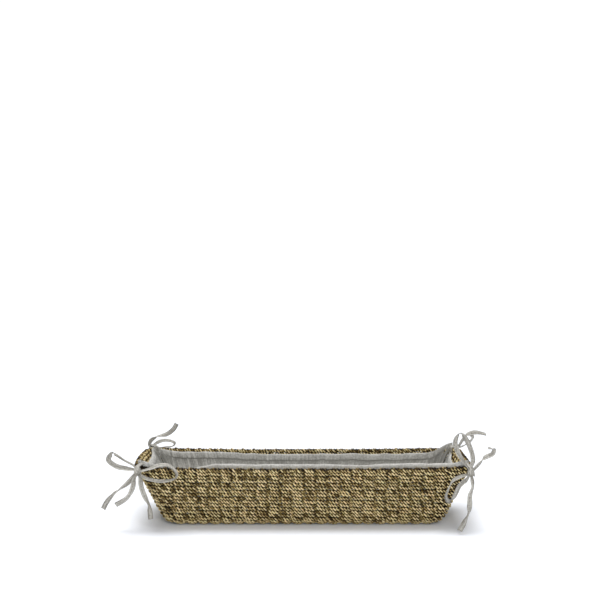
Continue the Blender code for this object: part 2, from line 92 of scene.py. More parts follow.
def height_along_side(distance):
    """Height of the side wall at distances measured up its outer face from the base."""
    rounded = SIDE_EDGE_RADIUS * (1 - np.cos(np.minimum(distance, SIDE_ARC) / SIDE_EDGE_RADIUS))
    return rounded + np.maximum(distance - SIDE_ARC, 0) * math.cos(SIDE_LEAN)


def unit(vectors):
    return vectors / np.linalg.norm(vectors, axis=-1, keepdims=True)


def distances_along(points):
    """Distance of each point from the first, along the line through them."""
    steps = np.linalg.norm(np.diff(points, axis=0), axis=1)
    return np.concatenate([[0.0], np.cumsum(steps)])


ON_STRAIGHT = 1e-6  # the sine or cosine of an angle is under this on a straight stretch


def wall(height, angle, share, depth=0.0, tilt=1.0):
    """Points a depth inside the wall's outer face, and outward normals. Arrays broadcast.

    The angle is the direction that the wall faces in plan, and the share the place along a straight
    stretch. With a tilt of 0 the depth is measured level, not square to the face.
    """
    height, angle, share, depth = np.broadcast_arrays(height, angle, share, depth)
    end_reach, end_flat, end_drop = profile(height, END_LEAN, END_EDGE_RADIUS)
    side_reach, side_flat, side_drop = profile(height, SIDE_LEAN, SIDE_EDGE_RADIUS)
    half_length = BASE_HALF_LENGTH + end_reach
    half_width = BASE_HALF_WIDTH + side_reach
    corner_x = BASE_CORNER_RADIUS + CORNER_SPREAD * end_reach
    corner_y = BASE_CORNER_RADIUS + CORNER_SPREAD * side_reach
    across, along = np.cos(angle), np.sin(angle)
    x = corner_x * across + np.copysign(half_length - corner_x, across)
    y = corner_y * along + np.copysign(half_width - corner_y, along)
    on_end, on_side = np.abs(along) < ON_STRAIGHT, np.abs(across) < ON_STRAIGHT
    y = np.where(on_end, (half_width - corner_y) * (2 * share - 1) * np.sign(across), y)
    x = np.where(on_side, (half_length - corner_x) * (1 - 2 * share) * np.sign(along), x)
    plan = unit(np.stack([across / corner_x, along / corner_y], -1))
    level = height / RIM_HEIGHT
    bow = np.where(across > 0, RIGHT_END_BOW, LEFT_END_BOW)
    x = x + np.copysign(bow * level * across**2 * (1 - (y / half_width) ** 2), across)
    lift = CORNER_LIFT * level * (x / RIM_HALF_LENGTH) ** 2
    blend = plan[..., 0] ** 2
    flat = end_flat * blend + side_flat * (1 - blend)
    drop = end_drop * blend + side_drop * (1 - blend)
    normal = unit(np.stack([plan[..., 0] * flat, plan[..., 1] * flat, drop], -1))
    inward = unit(-normal * np.array([1.0, 1.0, tilt]))
    points = np.stack([x, y, height + lift], -1) + inward * depth[..., None]
    return points, normal


STRAIGHT_STEPS, CORNER_STEPS = 60, 40
HAIR = 1e-4  # keeps a corner's first and last angles off those of the straight stretches


def stations_round():
    """Angles and shares of the wall's stations once round, from the middle of the right end."""
    angles, shares = [], []
    for side in (RIGHT, BACK, LEFT, FRONT):
        along = np.arange(STRAIGHT_STEPS) / STRAIGHT_STEPS
        turns = np.linspace(HAIR, math.pi / 2 - HAIR, CORNER_STEPS)
        angles += [side] * STRAIGHT_STEPS + list(side + turns)
        shares += list(along) + [0.5] * CORNER_STEPS
    return np.array(angles), np.array(shares)


ROUND_ANGLES, ROUND_SHARES = stations_round()


class Course:
    """One level of the wall as a closed line that can be read at any distance along it."""

    closed = True

    def __init__(self, distance_up, depth):
        height = height_along_side(distance_up)
        points, normals = wall(height, ROUND_ANGLES, ROUND_SHARES, depth)
        self.points = np.vstack([points, points[:1]])
        self.normals = np.vstack([normals, normals[:1]])
        self.places = distances_along(self.points)
        self.length = self.places[-1]
        # The twist of every course's cords is lined up at the middle of the front
        self.aligned_at = self.places[3 * (STRAIGHT_STEPS + CORNER_STEPS) + STRAIGHT_STEPS // 2]

    def at(self, places):
        """Points and outward normals at distances along the line."""
        wrapped = np.mod(places, self.length)
        points, normals = (
            np.stack([np.interp(wrapped, self.places, values[:, i]) for i in range(3)], -1)
            for values in (self.points, self.normals)
        )
        return points, unit(normals)


# ---- Meshes --------------------------------------------------------------------------------------


def add_mesh(name, points, faces, material, attributes):
    """A smooth mesh object from arrays. attributes are named vectors, one for each point."""
    mesh = bpy.data.meshes.new(name)
    corners = np.asarray(faces, dtype=np.int32)
    mesh.vertices.add(len(points))
    mesh.vertices.foreach_set("co", np.asarray(points, dtype=np.float32).ravel())
    mesh.loops.add(corners.size)
    mesh.loops.foreach_set("vertex_index", corners.ravel())
    mesh.polygons.add(len(corners))
    sides = corners.shape[1]
    mesh.polygons.foreach_set("loop_start", np.arange(len(corners), dtype=np.int32) * sides)
    mesh.update(calc_edges=True)
    mesh.polygons.foreach_set("use_smooth", np.full(len(corners), True))
    for label, values in attributes.items():
        layer = mesh.attributes.new(label, "FLOAT_VECTOR", "POINT")
        layer.data.foreach_set("vector", np.asarray(values, dtype=np.float32).ravel())
    mesh.materials.append(material)
    mesh.validate()
    item = bpy.data.objects.new(name, mesh)
    bpy.context.scene.collection.objects.link(item)
    return item


def finish_piece(item, node):
    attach(item, "root")
    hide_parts(node)


def ring_faces(count, sides, closed=False):
    """Faces that join each ring of points of a tube to the next."""
    i, j = np.meshgrid(np.arange(count if closed else count - 1), np.arange(sides), indexing="ij")
    k, m = (i + 1) % count, (j + 1) % sides
    faces = np.stack([i * sides + j, i * sides + m, k * sides + m, k * sides + j], -1)
    return faces.reshape(-1, 4)


def grid_faces(rows, columns):
    """Faces of an open sheet of points."""
    i, j = np.meshgrid(np.arange(rows - 1), np.arange(columns - 1), indexing="ij")
    corner = i * columns + j
    return np.stack([corner, corner + 1, corner + columns + 1, corner + columns], -1).reshape(-1, 4)


def tube(centres, radii, sides, closed, facing):
    """Points and faces of one tube, and the angles round it from the side that facing points to."""
    if closed:
        ahead = np.roll(centres, -1, axis=0) - np.roll(centres, 1, axis=0)
    else:
        ahead = np.gradient(centres, axis=0)
    ahead = unit(ahead)
    first = unit(facing - ahead * np.sum(facing * ahead, axis=1, keepdims=True))
    second = np.cross(ahead, first)
    turns = np.arange(sides) * 2 * math.pi / sides
    cosines, sines = np.cos(turns)[None, :, None], np.sin(turns)[None, :, None]
    ring = cosines * first[:, None] + sines * second[:, None]
    points = centres[:, None] + ring * radii[:, None, None]
    return points.reshape(-1, 3), ring_faces(len(centres), sides, closed), turns


FIBRE_TWIST = 260.0  # radians along a metre
EDGE_SHADE = 0.46  # painted shade: how much darker a strand's sides are than its front and back


class Strands:
    """Collects many tubes into one mesh, with the attributes that the fibre material reads."""

    def __init__(self):
        self.points, self.faces, self.fibre, self.tint = [], [], [], []
        self.count = 0

    def add(self, centres, radii, sides, closed, facing, tint):
        points, faces, turns = tube(centres, radii, sides, closed, facing)
        along = distances_along(centres)[:, None]
        twist = turns[None, :] + along * FIBRE_TWIST
        around = radii[:, None]
        fibre = [np.broadcast_to(along, twist.shape), np.cos(twist) * around, np.sin(twist) * around]
        fibre = np.stack(fibre, -1)
        self.points.append(points)
        self.faces.append(faces + self.count)
        self.fibre.append(fibre.reshape(-1, 3) + rng.uniform(0, 1, 3) * [1, 0.1, 0.1])
        tints = np.repeat(tint[:, None], len(turns), axis=1)
        # painted shade on the sides of each strand, where the strands shade each other
        tints[..., 0] -= EDGE_SHADE * (1 - np.abs(np.cos(turns)))
        self.tint.append(np.clip(tints, 0, 1).reshape(-1, 3))
        self.count += len(points)

    def build(self, name, material):
        attributes = {"fibre": np.vstack(self.fibre), "tint": np.vstack(self.tint)}
        return add_mesh(name, np.vstack(self.points), np.vstack(self.faces), material, attributes)


def between(values, position):
    """Reads values at positions between their indices, smoothly and without an end."""
    low = np.floor(position).astype(int)
    share = position - low
    share = share * share * (3 - 2 * share)
    return values[low % len(values)] * (1 - share) + values[(low + 1) % len(values)] * share


def wander(places, spacing, period=None):
    """Smooth random values, about -1 to 1, that change over a spacing along places."""
    span = period or float(places[-1]) + spacing
    knots = max(4, round(span / spacing))
    values = rng.uniform(-1, 1, knots)
    return between(values, np.mod(places / span * knots, knots))


def unevenness(places, layers, period=None):
    """The sum of wandering values, with an amount and a spacing for each layer."""
    return sum(amount * wander(places, spacing, period) for amount, spacing in layers)


# ---- Twined cords --------------------------------------------------------------------------------

STAKE_PITCH = 0.0176
SIDE_CELLS, END_CELLS = 20, 5
PLY_RADIUS = 0.00112
PLY_OUT, PLY_UP = 0.0012, 0.00155  # how far a ply stands from its cord's middle
LAY = 0.0093  # length of one turn of the plies
WEAVE_DEPTH = 0.0038  # middle of the weave, from the wall's outer face
LOW_INSET, LOW_REACH = 0.0013, 0.012  # how much deeper it lies at the base, fading out upwards
WEAVE_SWING = 0.0026  # how far a cord moves out in front of a stake and in behind it
WEAVE_RISE = 0.0007  # how far the two cords of a course pass over and under each other
SWING_POWER = 0.7  # under 1, a cord stays longer at the outer and inner ends of its swing
PLY_STEP, PLY_SIDES = 0.0011, 5

# How uneven a cord is: an amount and a spacing in metres for each layer
SWING_LAYERS = ((0.12, 0.02),)
SAG_LAYERS = ((0.00035, 0.03), (0.0003, 0.11))
TWIST_LAYERS = ((0.9, 0.045), (0.35, 0.012))
RADIUS_LAYERS = ((0.12, 0.012), (0.07, 0.004))

# Looks of a ply: its tone is 0 for dark and 1 for pale
HIDDEN_SHADE = 1.25  # painted shade: how much darker a ply gets on its way round the back of its cord
HIDDEN_FROM, HIDDEN_OVER = 0.35, 0.9  # where that starts and ends, as a fall in the turn's cosine
BEHIND_SHADE, CROSSING_SHADE = 0.35, 0.14  # shares of that painted shade for a cord at the back, and on its way
BEAD_SPREAD = 0.11
BEAD_EDGE, BEAD_FADE = 0.42, 0.16
TONE_WANDER, TONE_SPACING = 0.03, 0.035
HUE_SPACING, DRY_SPACING = 0.016, 0.06


def bead_tones(turn):
    """A tone for each turn of a ply, as the stretch that shows is one bead."""
    beads = turn / (2 * math.pi)
    low = np.floor(beads).astype(int)
    low -= low.min()
    values = rng.normal(0, BEAD_SPREAD, low.max() + 2)
    share = np.clip((beads - np.floor(beads) - BEAD_EDGE) / BEAD_FADE, 0, 1)
    return values[low] * (1 - share) + values[low + 1] * share


def ply_tint(places, turn, tone, shade=HIDDEN_SHADE, side=1):
    """Tone, hue and dryness along a ply, one vector for each place.

    A ply is painted darker, as painted shade, where it turns away from the side it is seen from,
    which is 1 for the outer face of the wall and -1 for the inner.
    """
    tones = tone + bead_tones(turn) + TONE_WANDER * wander(places, TONE_SPACING)
    # painted shade where the ply turns away from the side that is seen
    shade_share = (HIDDEN_FROM - side * np.cos(turn)) / HIDDEN_OVER
    tones = tones - shade * np.clip(shade_share, 0, 1)
    hues = 0.5 + 0.5 * wander(places, HUE_SPACING)
    dry = 0.5 + 0.5 * wander(places, DRY_SPACING)
    return np.clip(np.stack([tones, hues, dry], -1), 0, 1)


def twine(strands, line, cells, tone, scale=1.0, step=PLY_STEP, shade=HIDDEN_SHADE, two_faced=False):
    """Two cords of two plies each, twined in and out of the stakes along a line.

    line is a Course or a Row, and cells gives the stake coordinate at distances along it. The cords
    of a two_faced line get their painted shade for the face that each one shows, outside or inside.
    """
    count = int(line.length / step)
    places = np.arange(count) * line.length / (count if line.closed else count - 1)
    points, outward = line.at(places)
    upward = unit(np.cross(outward, np.gradient(points, axis=0)))
    phase = math.pi * cells(places)
    period = line.length if line.closed else None
    swing = WEAVE_SWING * scale * (1 + unevenness(places, SWING_LAYERS, period))
    sag = unevenness(places, SAG_LAYERS, period)
    turns = round(line.length / LAY)
    for cord_side in (1, -1):
        reach = cord_side * np.sign(np.sin(phase)) * np.abs(np.sin(phase)) ** SWING_POWER
        rise = cord_side * WEAVE_RISE * np.cos(phase) + sag
        middle = points + outward * (swing * reach)[:, None] + upward * rise[:, None]
        turn = -2 * math.pi * turns * (places - line.aligned_at) / line.length
        turn = turn + unevenness(places, TWIST_LAYERS, period) + cord_side * math.pi / 4
        side = np.clip(4 * reach, -1, 1) if two_faced else 1
        # painted shade on a cord that lies behind a stake, and on its way between stakes
        behind = 0 if two_faced else np.clip(-reach, 0, 1)
        recess_shade = shade * (BEHIND_SHADE * behind + CROSSING_SHADE * (1 - np.abs(reach)))
        for ply in (0, math.pi):
            out = PLY_OUT * np.cos(turn + ply)[:, None] * outward
            up = PLY_UP * np.sin(turn + ply)[:, None] * upward
            radii = PLY_RADIUS * scale * (1 + unevenness(places, RADIUS_LAYERS, period))
            tint = ply_tint(places, turn + ply, tone, shade, side)
            tint[:, 0] = np.clip(tint[:, 0] - recess_shade, 0, 1)
            strands.add(middle + scale * (out + up), radii, PLY_SIDES, line.closed, outward, tint)


def cell_reader(course):
    """The stake coordinate along a course, its inverse, and the number of stakes.

    Whole numbers fall midway between two stakes. The stakes stand a fixed pitch apart on the
    sides and ends, and fan out round the corners, with more of them higher up.
    """
    half_x, half_y = SIDE_CELLS * STAKE_PITCH / 2, END_CELLS * STAKE_PITCH / 2
    start = course.places[STRAIGHT_STEPS // 2]
    quarter = slice(STRAIGHT_STEPS // 2, STRAIGHT_STEPS * 3 // 2 + CORNER_STEPS + 1)
    x, y = course.points[quarter, 0], course.points[quarter, 1]
    along = course.places[quarter] - start
    end_half = np.interp(half_y, y, along)
    side_start = np.interp(-half_x, -x, along)
    fan = max(2, round((side_start - end_half) / STAKE_PITCH))
    half = course.length / 2
    marks = [-end_half]
    for base in (0, half):
        marks += [base + end_half, base + side_start]
        marks += [base + half - side_start, base + half - end_half]
    stretches = [END_CELLS, fan, SIDE_CELLS, fan] * 2
    values = np.concatenate([[0], np.cumsum(stretches)])

    def cells(places):
        turned = np.mod(places - start + end_half, course.length) - end_half
        return np.interp(turned, marks, values)

    def place_of(cell):
        return np.interp(cell, values, marks) + start

    return cells, place_of, values[-1]


COURSE_TONE, COURSE_TONE_SPREAD = 0.90, 0.03
BARED_COURSES = 3  # courses at the top whose inner face shows above the liner


def build_courses(material):
    for i in range(COURSES):
        up = (i + 0.5) * COURSE_PITCH
        course = Course(up, WEAVE_DEPTH + LOW_INSET * math.exp(-up / LOW_REACH))
        strands = Strands()
        tone = COURSE_TONE + COURSE_TONE_SPREAD * rng.uniform(-1, 1)
        bared = i >= COURSES - BARED_COURSES
        twine(strands, course, cell_reader(course)[0], tone, two_faced=bared)
        item = strands.build(f"twined_course_{i + 1:02d}", material)
        finish_piece(item, f"wall_course_{i + 1:02d}")


BORDER_DROP = 0.0009  # how far the top course lies below the middle of the border
# BORDER_SHADE is the strength of the border's painted shade
BORDER_TONE, BORDER_SCALE, BORDER_SHADE = 0.82, 1.08, 1.0
LOOP_SPREAD = 0.00115  # half the distance between the two strands of a stake
LOOP_REACH, LOOP_RISE = 0.0037, 0.0031
LOOP_START, LOOP_END, LOOP_STEPS = math.radians(-42), math.radians(215), 18
LOOP_LEAN = 0.0008  # how far a loop leans along the rim, at most
LOOP_SIZES, LOOP_TONES = (0.95, 1.07), (0.55, 0.80)
LOOP_RADIUS, LOOP_TIP, LOOP_SIDES = 0.0010, 0.3, 6
LOOP_SHADE = 0.35  # painted shade: how much darker a loop is where it dips into the weave


def build_border(material):
    """The top course, with the ends of every stake folded over it."""
    course = Course(WALL_LENGTH - BORDER_HEIGHT / 2 - BORDER_DROP, WEAVE_DEPTH)
    cells, place_of, count = cell_reader(course)
    strands = Strands()
    twine(strands, course, cells, BORDER_TONE, BORDER_SCALE, shade=BORDER_SHADE, two_faced=True)
    turns = np.linspace(LOOP_START, LOOP_END, LOOP_STEPS)
    out, up = np.cos(turns)[:, None], np.sin(turns)[:, None]
    for stake in range(count):
        lean = rng.uniform(-LOOP_LEAN, LOOP_LEAN)
        for side in (-1, 1):
            place = place_of(stake + 0.5) + side * LOOP_SPREAD
            (middle,), (outward,) = course.at(np.array([place]))
            (nearby,), _ = course.at(np.array([place + LOOP_SPREAD]))
            ahead = unit(nearby - middle)
            level = unit(outward * [1, 1, 0])
            size = rng.uniform(*LOOP_SIZES)
            centres = middle + size * (LOOP_REACH * out * level + LOOP_RISE * up * np.array([0, 0, 1]))
            centres = centres + lean * out * ahead
            radii = np.full(LOOP_STEPS, LOOP_RADIUS) * rng.uniform(0.9, 1.1)
            radii[[0, -1]] *= LOOP_TIP
            tint = ply_tint(turns * 0.005 + 1, turns * 0, rng.uniform(*LOOP_TONES), 0.0)
            # painted shade at the ends of each loop, where it dips into the weave
            tint[:, 0] = np.clip(tint[:, 0] - LOOP_SHADE * np.cos(turns) ** 4, 0, 1)
            facing = np.broadcast_to(ahead, centres.shape)
            strands.add(centres, radii, LOOP_SIDES, False, facing, tint)
    finish_piece(strands.build("rim_border_twined", material), "rim_border")


def straight_half(side, height):
    """Half the straight stretch of a side or an end at each height."""
    if side in (BACK, FRONT):
        reach = profile(height, END_LEAN, END_EDGE_RADIUS)[0]
        return BASE_HALF_LENGTH + reach - BASE_CORNER_RADIUS - CORNER_SPREAD * reach
    reach = profile(height, SIDE_LEAN, SIDE_EDGE_RADIUS)[0]
    return BASE_HALF_WIDTH + reach - BASE_CORNER_RADIUS - CORNER_SPREAD * reach


# The stakes' low tone is painted shade, for the gaps between the cords where they show
STAKE_RADIUS, STAKE_SIDES, STAKE_TONE = 0.0010, 5, 0.3
STAKE_STEPS, FLOOR_STAKE_STEPS = 40, 30
STAKE_PAIR = 1.05  # how far a strand stands from the middle of its stake, in its own radii
FLOOR_SCALE = 0.78  # the base is woven of thinner cord
FLOOR_MIDDLE = 0.0040
FLOOR_PITCH = 0.0044
FLOOR_STEP = 1.9 * PLY_STEP
FLOOR_TONE = 0.4


def build_stakes(material):
    """Two strands side by side up the wall at each stake, and across the base."""
    strands = Strands()
    heights = np.linspace(0.0, RIM_HEIGHT - BORDER_HEIGHT, STAKE_STEPS)
    fan = cell_reader(Course(WALL_LENGTH - BORDER_HEIGHT, WEAVE_DEPTH))[2]
    fan = (fan - 2 * (SIDE_CELLS + END_CELLS)) // 4
    for side, cells in ((RIGHT, END_CELLS), (BACK, SIDE_CELLS), (LEFT, END_CELLS), (FRONT, SIDE_CELLS)):
        columns = []
        for k in range(cells):
            place = (k + 0.5 - cells / 2) * STAKE_PITCH
            columns.append((side, 0.5 + place / 2 / straight_half(side, heights)))
        for k in range(fan):
            columns.append((side + (k + 0.5) / fan * math.pi / 2, np.full(len(heights), 0.5)))
        for angle, shares in columns:
            points, normals = wall(heights, angle, shares, WEAVE_DEPTH)
            ahead = unit(np.cross([0, 0, 1.0], normals))
            for offset in (-1, 1):
                centres = points + ahead * offset * STAKE_RADIUS * STAKE_PAIR
                along = heights + rng.uniform(0, 1)
                tint = ply_tint(along, along * 0, STAKE_TONE)
                radii = STAKE_RADIUS * (1 + 0.1 * wander(along, 0.008))
                strands.add(centres, radii, STAKE_SIDES, False, normals, tint)
    y = np.linspace(-BASE_HALF_WIDTH, BASE_HALF_WIDTH, FLOOR_STAKE_STEPS)
    radii = np.full(len(y), STAKE_RADIUS)
    for k in range(SIDE_CELLS):
        x = (k + 0.5 - SIDE_CELLS / 2) * STAKE_PITCH
        for offset in (-1, 1):
            across = np.full(len(y), x + offset * STAKE_RADIUS)
            centres = np.stack([across, y, np.full(len(y), FLOOR_MIDDLE)], -1)
            down = np.broadcast_to([0.0, 0.0, -1.0], centres.shape)
            strands.add(centres, radii, STAKE_SIDES, False, down, ply_tint(y + 1, y * 0, STAKE_TONE))
    finish_piece(strands.build("stakes", material), "stake_lattice")


class Row:
    """A straight line along the base that reads like a course."""

    closed = False
    aligned_at = 0.0

    def __init__(self, y, half_length):
        self.y, self.half_length, self.length = y, half_length, 2 * half_length

    def at(self, places):
        count = len(places)
        x = places - self.half_length
        points = np.stack([x, np.full(count, self.y), np.full(count, FLOOR_MIDDLE)], -1)
        return points, np.broadcast_to([0.0, 0.0, -1.0], points.shape)

    def cells(self, places):
        return (places - self.half_length) / STAKE_PITCH


def build_base(material):
    """The base, twined in straight rows along its length."""
    strands = Strands()
    edge = BASE_HALF_WIDTH - FLOOR_PITCH / 2
    for y in np.linspace(-edge, edge, round(2 * edge / FLOOR_PITCH) + 1):
        into_corner = max(0.0, abs(y) - (BASE_HALF_WIDTH - BASE_CORNER_RADIUS))
        cut = BASE_CORNER_RADIUS - math.sqrt(BASE_CORNER_RADIUS**2 - into_corner**2)
        row = Row(y, BASE_HALF_LENGTH - cut)
        twine(strands, row, row.cells, FLOOR_TONE, FLOOR_SCALE, FLOOR_STEP)
    finish_piece(strands.build("base_twined", material), "base_mat")


# ---- The liner -----------------------------------------------------------------------------------

LINER_DEPTH = 0.0101  # the cloth lies against the inside of the weave
CLOTH_THICKNESS = 0.0010
FLOOR_TOP = 0.0095
ALONG_STEP = 0.0014
TURN_STEPS = 16  # of a panel, round each corner
PANEL_LEVELS = 40
MEASURED_LEVEL = 0.7  # share of the rim's height where distances along a panel are measured
PANEL_FOOT = 0.0003  # where a panel starts, on the curve between the base and the wall
HEM_HEIGHT, HEM_THICKNESS = 0.0105, 0.0056
HEM_SIDES = 20
HEM_OVERLAP = 0.85  # share of the hem's height by which a panel ends below its top
HEM_RISE = 0.0012  # how much further in the hem's upper edge stands than its lower
HEM_SQUEEZE = 0.45  # share of its thickness that the hem loses at a tie
HEM_PINCH, HEM_PUFF = 0.62, 0.62  # how thin its stitched edge is, and how much it puckers
STITCHED_AT, STITCHED_IN = 0.90, 0.62  # the stitches, as shares of the hem's height and thickness
PULL_REACH = 0.020  # how far from a tie the cloth is gathered
OVER_SPREAD = 0.013  # how far from a tie it is drawn out over the rim
OVER_REACH, OVER_LIFT = 0.007, 0.006
# Painted shade along each hem's stitched edge (SEAM_SHADE) and near the ties (CORNER_SHADE)
SEAM_SHADE, SEAM_SHARPNESS = 0.85, 10.0
CORNER_SHADE = 0.45
GATHER_DEPTH, TIE_FOLD_DEPTH = 0.0026, 0.0024
TIE_FOLDS = 2 * math.pi / 0.0068  # the folds that run to a tie, as radians along a metre
CLOTH_CLEARANCE = 0.0006
TOP_LAYERS = ((0.0011, 0.05), (0.0008, 0.012))
PUCKER_LAYERS = ((0.55, 0.0048), (0.65, 0.011))


class Panel:
    """One flap of the liner: where its top edge runs, how it folds and how it is pulled up.

    Heights and depths are in metres. turns are the degrees that it runs on round the corner before
    and after it, and drawn how strongly it is pulled up to the tie there. sag lowers the middle of
    its top edge and slope tilts it. A dip has a share along the panel, a depth and a width, and a
    broad fold of the billow has a width, a size and a drift. ribs is the depth of the fine folds
    under the hem, pleat_slope makes them stronger towards one end, and painted_light makes the hem
    paler, as painted light.
    """

    def __init__(self, name, side, top, sag, corner_top, ribs, billow, turns, **options):
        self.name, self.ribs, self.billow = name, ribs, billow
        # painted light: how much paler the hem is drawn
        self.painted_light = options.get("painted_light", 0.0)
        height = MEASURED_LEVEL * RIM_HEIGHT
        straight_steps = int(2 * straight_half(side, height) / ALONG_STEP)
        before = side - np.linspace(math.radians(turns[0]), HAIR, TURN_STEPS)
        after = side + np.linspace(HAIR, math.radians(turns[1]), TURN_STEPS)
        self.angles = np.concatenate([before, np.full(straight_steps, side), after])
        shares = (np.arange(straight_steps) + 0.5) / straight_steps
        half = np.full(TURN_STEPS, 0.5)
        self.shares = np.concatenate([half, shares, half])
        points, _ = wall(height, self.angles, self.shares, LINER_DEPTH)
        self.along = distances_along(points)
        self.length = self.along[-1]
        place = self.along / self.length
        near = np.minimum(self.along, self.length - self.along)
        drawn = np.where(self.along < self.length / 2, *options.get("drawn", (1.0, 1.0)))
        self.pull = np.exp(-((near / PULL_REACH) ** 2))  # 1 at the ties, 0 away from them
        self.over = drawn * np.exp(-((near / OVER_SPREAD) ** 2))
        uneven = unevenness(self.along, TOP_LAYERS) * (1 - self.pull)
        top = top + options.get("slope", 0.0) * (place - 0.5)
        self.top_line = top - sag * np.sin(math.pi * place) ** 0.8
        self.top_line = self.top_line + (corner_top - top) * self.pull * drawn
        self.top_line = self.top_line + uneven + OVER_LIFT * self.over
        for share, depth, width in options.get("dips", ()):
            away = (self.along - share * self.length) / width
            self.top_line = self.top_line - depth * np.exp(-(away**2))
        self.pucker = unevenness(self.along, PUCKER_LAYERS)
        pleated = 0.55 + 0.45 * wander(self.along, 0.06) + 0.8 * self.pull
        pleated = pleated + options.get("pleat_slope", 0.0) * (place - 0.5)
        self.pleated = np.clip(pleated, 0.15, 1.2)
        self.fold_values = {}

    def broad_fold(self, width, drift):
        """Folds about a width wide, drawn at their first use and moved along by the drift."""
        if width not in self.fold_values:
            self.fold_values[width] = rng.uniform(-1, 1, 400)
        return between(self.fold_values[width], (self.along + drift) / width + 40)

    def surface(self, level):
        """Points of the cloth at a level from 0, at the floor, to 1, at the hem's lower edge."""
        height = PANEL_FOOT + (self.top_line - HEM_HEIGHT * HEM_OVERLAP - PANEL_FOOT) * level
        fold = np.zeros(len(self.along))
        for width, size, drift in self.billow:
            fold += size * self.broad_fold(width, drift * level)
        upper = level**2.2
        fold = fold * math.sin(math.pi * min(1.0, 0.12 + 0.88 * level)) ** 0.5
        fold = fold + self.ribs * self.pucker * upper
        tie_folds = np.sin(self.along * TIE_FOLDS + 1.5 * self.pucker)
        gather = self.pull * upper * (GATHER_DEPTH + TIE_FOLD_DEPTH * tie_folds)
        depth = LINER_DEPTH + np.maximum(fold + CLOTH_CLEARANCE, 0.0) + gather
        depth = depth - OVER_REACH * self.over * upper**3
        return wall(height, self.angles, self.shares, depth)[0]


def add_thickness(item, thickness):
    """Gives an open sheet its thickness for good."""
    shell = item.modifiers.new("thickness", "SOLIDIFY")
    shell.thickness = thickness
    shell.offset = 0.0
    bpy.context.view_layer.update()
    evaluated = item.evaluated_get(bpy.context.evaluated_depsgraph_get())
    mesh = bpy.data.meshes.new_from_object(evaluated)
    item.modifiers.clear()
    item.data = mesh


def build_panel(panel, material):
    """The cloth below a hem, with the distance up it from the floor."""
    rows, cloth, gather = [], [], []
    up = 0.0
    for level in np.linspace(0, 1, PANEL_LEVELS):
        points = panel.surface(level)
        if rows:
            up += float(np.median(np.linalg.norm(points - rows[-1], axis=1)))
        rows.append(points)
        cloth.append(np.stack([panel.along, np.full(len(points), up), np.zeros(len(points))], -1))
        # painted shade just under the hem, and near the ties
        painted_shade = SEAM_SHADE * level**SEAM_SHARPNESS + CORNER_SHADE * panel.pull * level
        gather.append(np.stack([panel.pleated * level**1.2, painted_shade, painted_shade * 0], -1))
    faces = grid_faces(PANEL_LEVELS, len(panel.along))
    attributes = {"cloth": np.vstack(cloth), "gather": np.vstack(gather)}
    item = add_mesh(f"cloth_{panel.name}", np.vstack(rows), faces, material, attributes)
    add_thickness(item, CLOTH_THICKNESS)
    finish_piece(item, f"liner_{panel.name}")
    return item, up


def build_hem(panel, material):
    """The puffed hem: the cloth's top edge turned over and stitched, with small puckers."""
    turns = np.arange(HEM_SIDES) * 2 * math.pi / HEM_SIDES
    size = 1 - HEM_SQUEEZE * panel.pull
    middle = panel.top_line - HEM_HEIGHT / 2
    near = LINER_DEPTH + HEM_RISE - OVER_REACH * panel.over
    rows = []
    for turn in turns:
        lift, reach = math.sin(turn), math.cos(turn)
        pinch = HEM_PINCH + (1 - HEM_PINCH) * math.sin(min(math.pi / 2, (lift + 1) * 1.1))
        puff = 1 + HEM_PUFF * panel.pucker * (1 - 0.5 * max(lift, 0))
        half = HEM_THICKNESS / 2 * size * pinch * puff
        height = middle + HEM_HEIGHT / 2 * math.copysign(abs(lift) ** 0.8, lift)
        depth = near + HEM_THICKNESS / 2 - half * reach - HEM_RISE * (1 - lift) / 2
        rows.append(wall(height, panel.angles, panel.shares, depth, 0.0)[0])
    count = len(panel.along)
    points = np.stack(rows, 1).reshape(-1, 3)
    tips = [points[:HEM_SIDES].mean(axis=0), points[-HEM_SIDES:].mean(axis=0)]
    points = np.vstack([points, tips])
    faces = ring_faces(count, HEM_SIDES)
    around = turns / (2 * math.pi) * 2 * (HEM_HEIGHT + HEM_THICKNESS)
    flat = np.zeros((count, HEM_SIDES))
    cloth = np.stack([panel.along[:, None] + flat, around[None, :] + flat, flat], -1)
    cloth = np.vstack([cloth.reshape(-1, 3), [[0, 0, 0], [panel.length, 0, 0]]])
    pleated = np.repeat(panel.pleated, HEM_SIDES) * np.tile(0.65 - 0.35 * np.sin(turns), count)
    # painted shade on the underside of the hem, less the hem's painted light
    painted_shade = np.tile(SEAM_SHADE * np.clip(-np.sin(turns), 0, 1) ** 4, count) - panel.painted_light
    gather = np.vstack([np.stack([pleated, painted_shade, painted_shade * 0], -1), np.zeros((2, 3))])
    item = add_mesh(f"hem_{panel.name}", points, faces, material, {"cloth": cloth, "gather": gather})
    close_ends(item, count, HEM_SIDES)
    finish_piece(item, f"liner_hem_{panel.name}")
    return item


def close_ends(item, rows, sides):
    """Fans faces from the two last points of a tube's mesh to its first and last rings."""
    work = bmesh.new()
    work.from_mesh(item.data)
    work.verts.ensure_lookup_table()
    for row, tip in ((0, rows * sides), (rows - 1, rows * sides + 1)):
        for j in range(sides):
            a = work.verts[row * sides + j]
            b = work.verts[row * sides + (j + 1) % sides]
            order = (a, b, work.verts[tip]) if row else (b, a, work.verts[tip])
            work.faces.new(order).smooth = True
    work.to_mesh(item.data)
    work.free()


STITCH_PITCH, STITCH_LENGTH, STITCH_RADIUS = 0.0036, 0.0024, 0.00028
STITCH_TAPER = (0.4, 1.0, 1.1, 1.0, 0.4)
STITCH_MARGIN = 0.012  # how far from a panel's ends the stitches stop


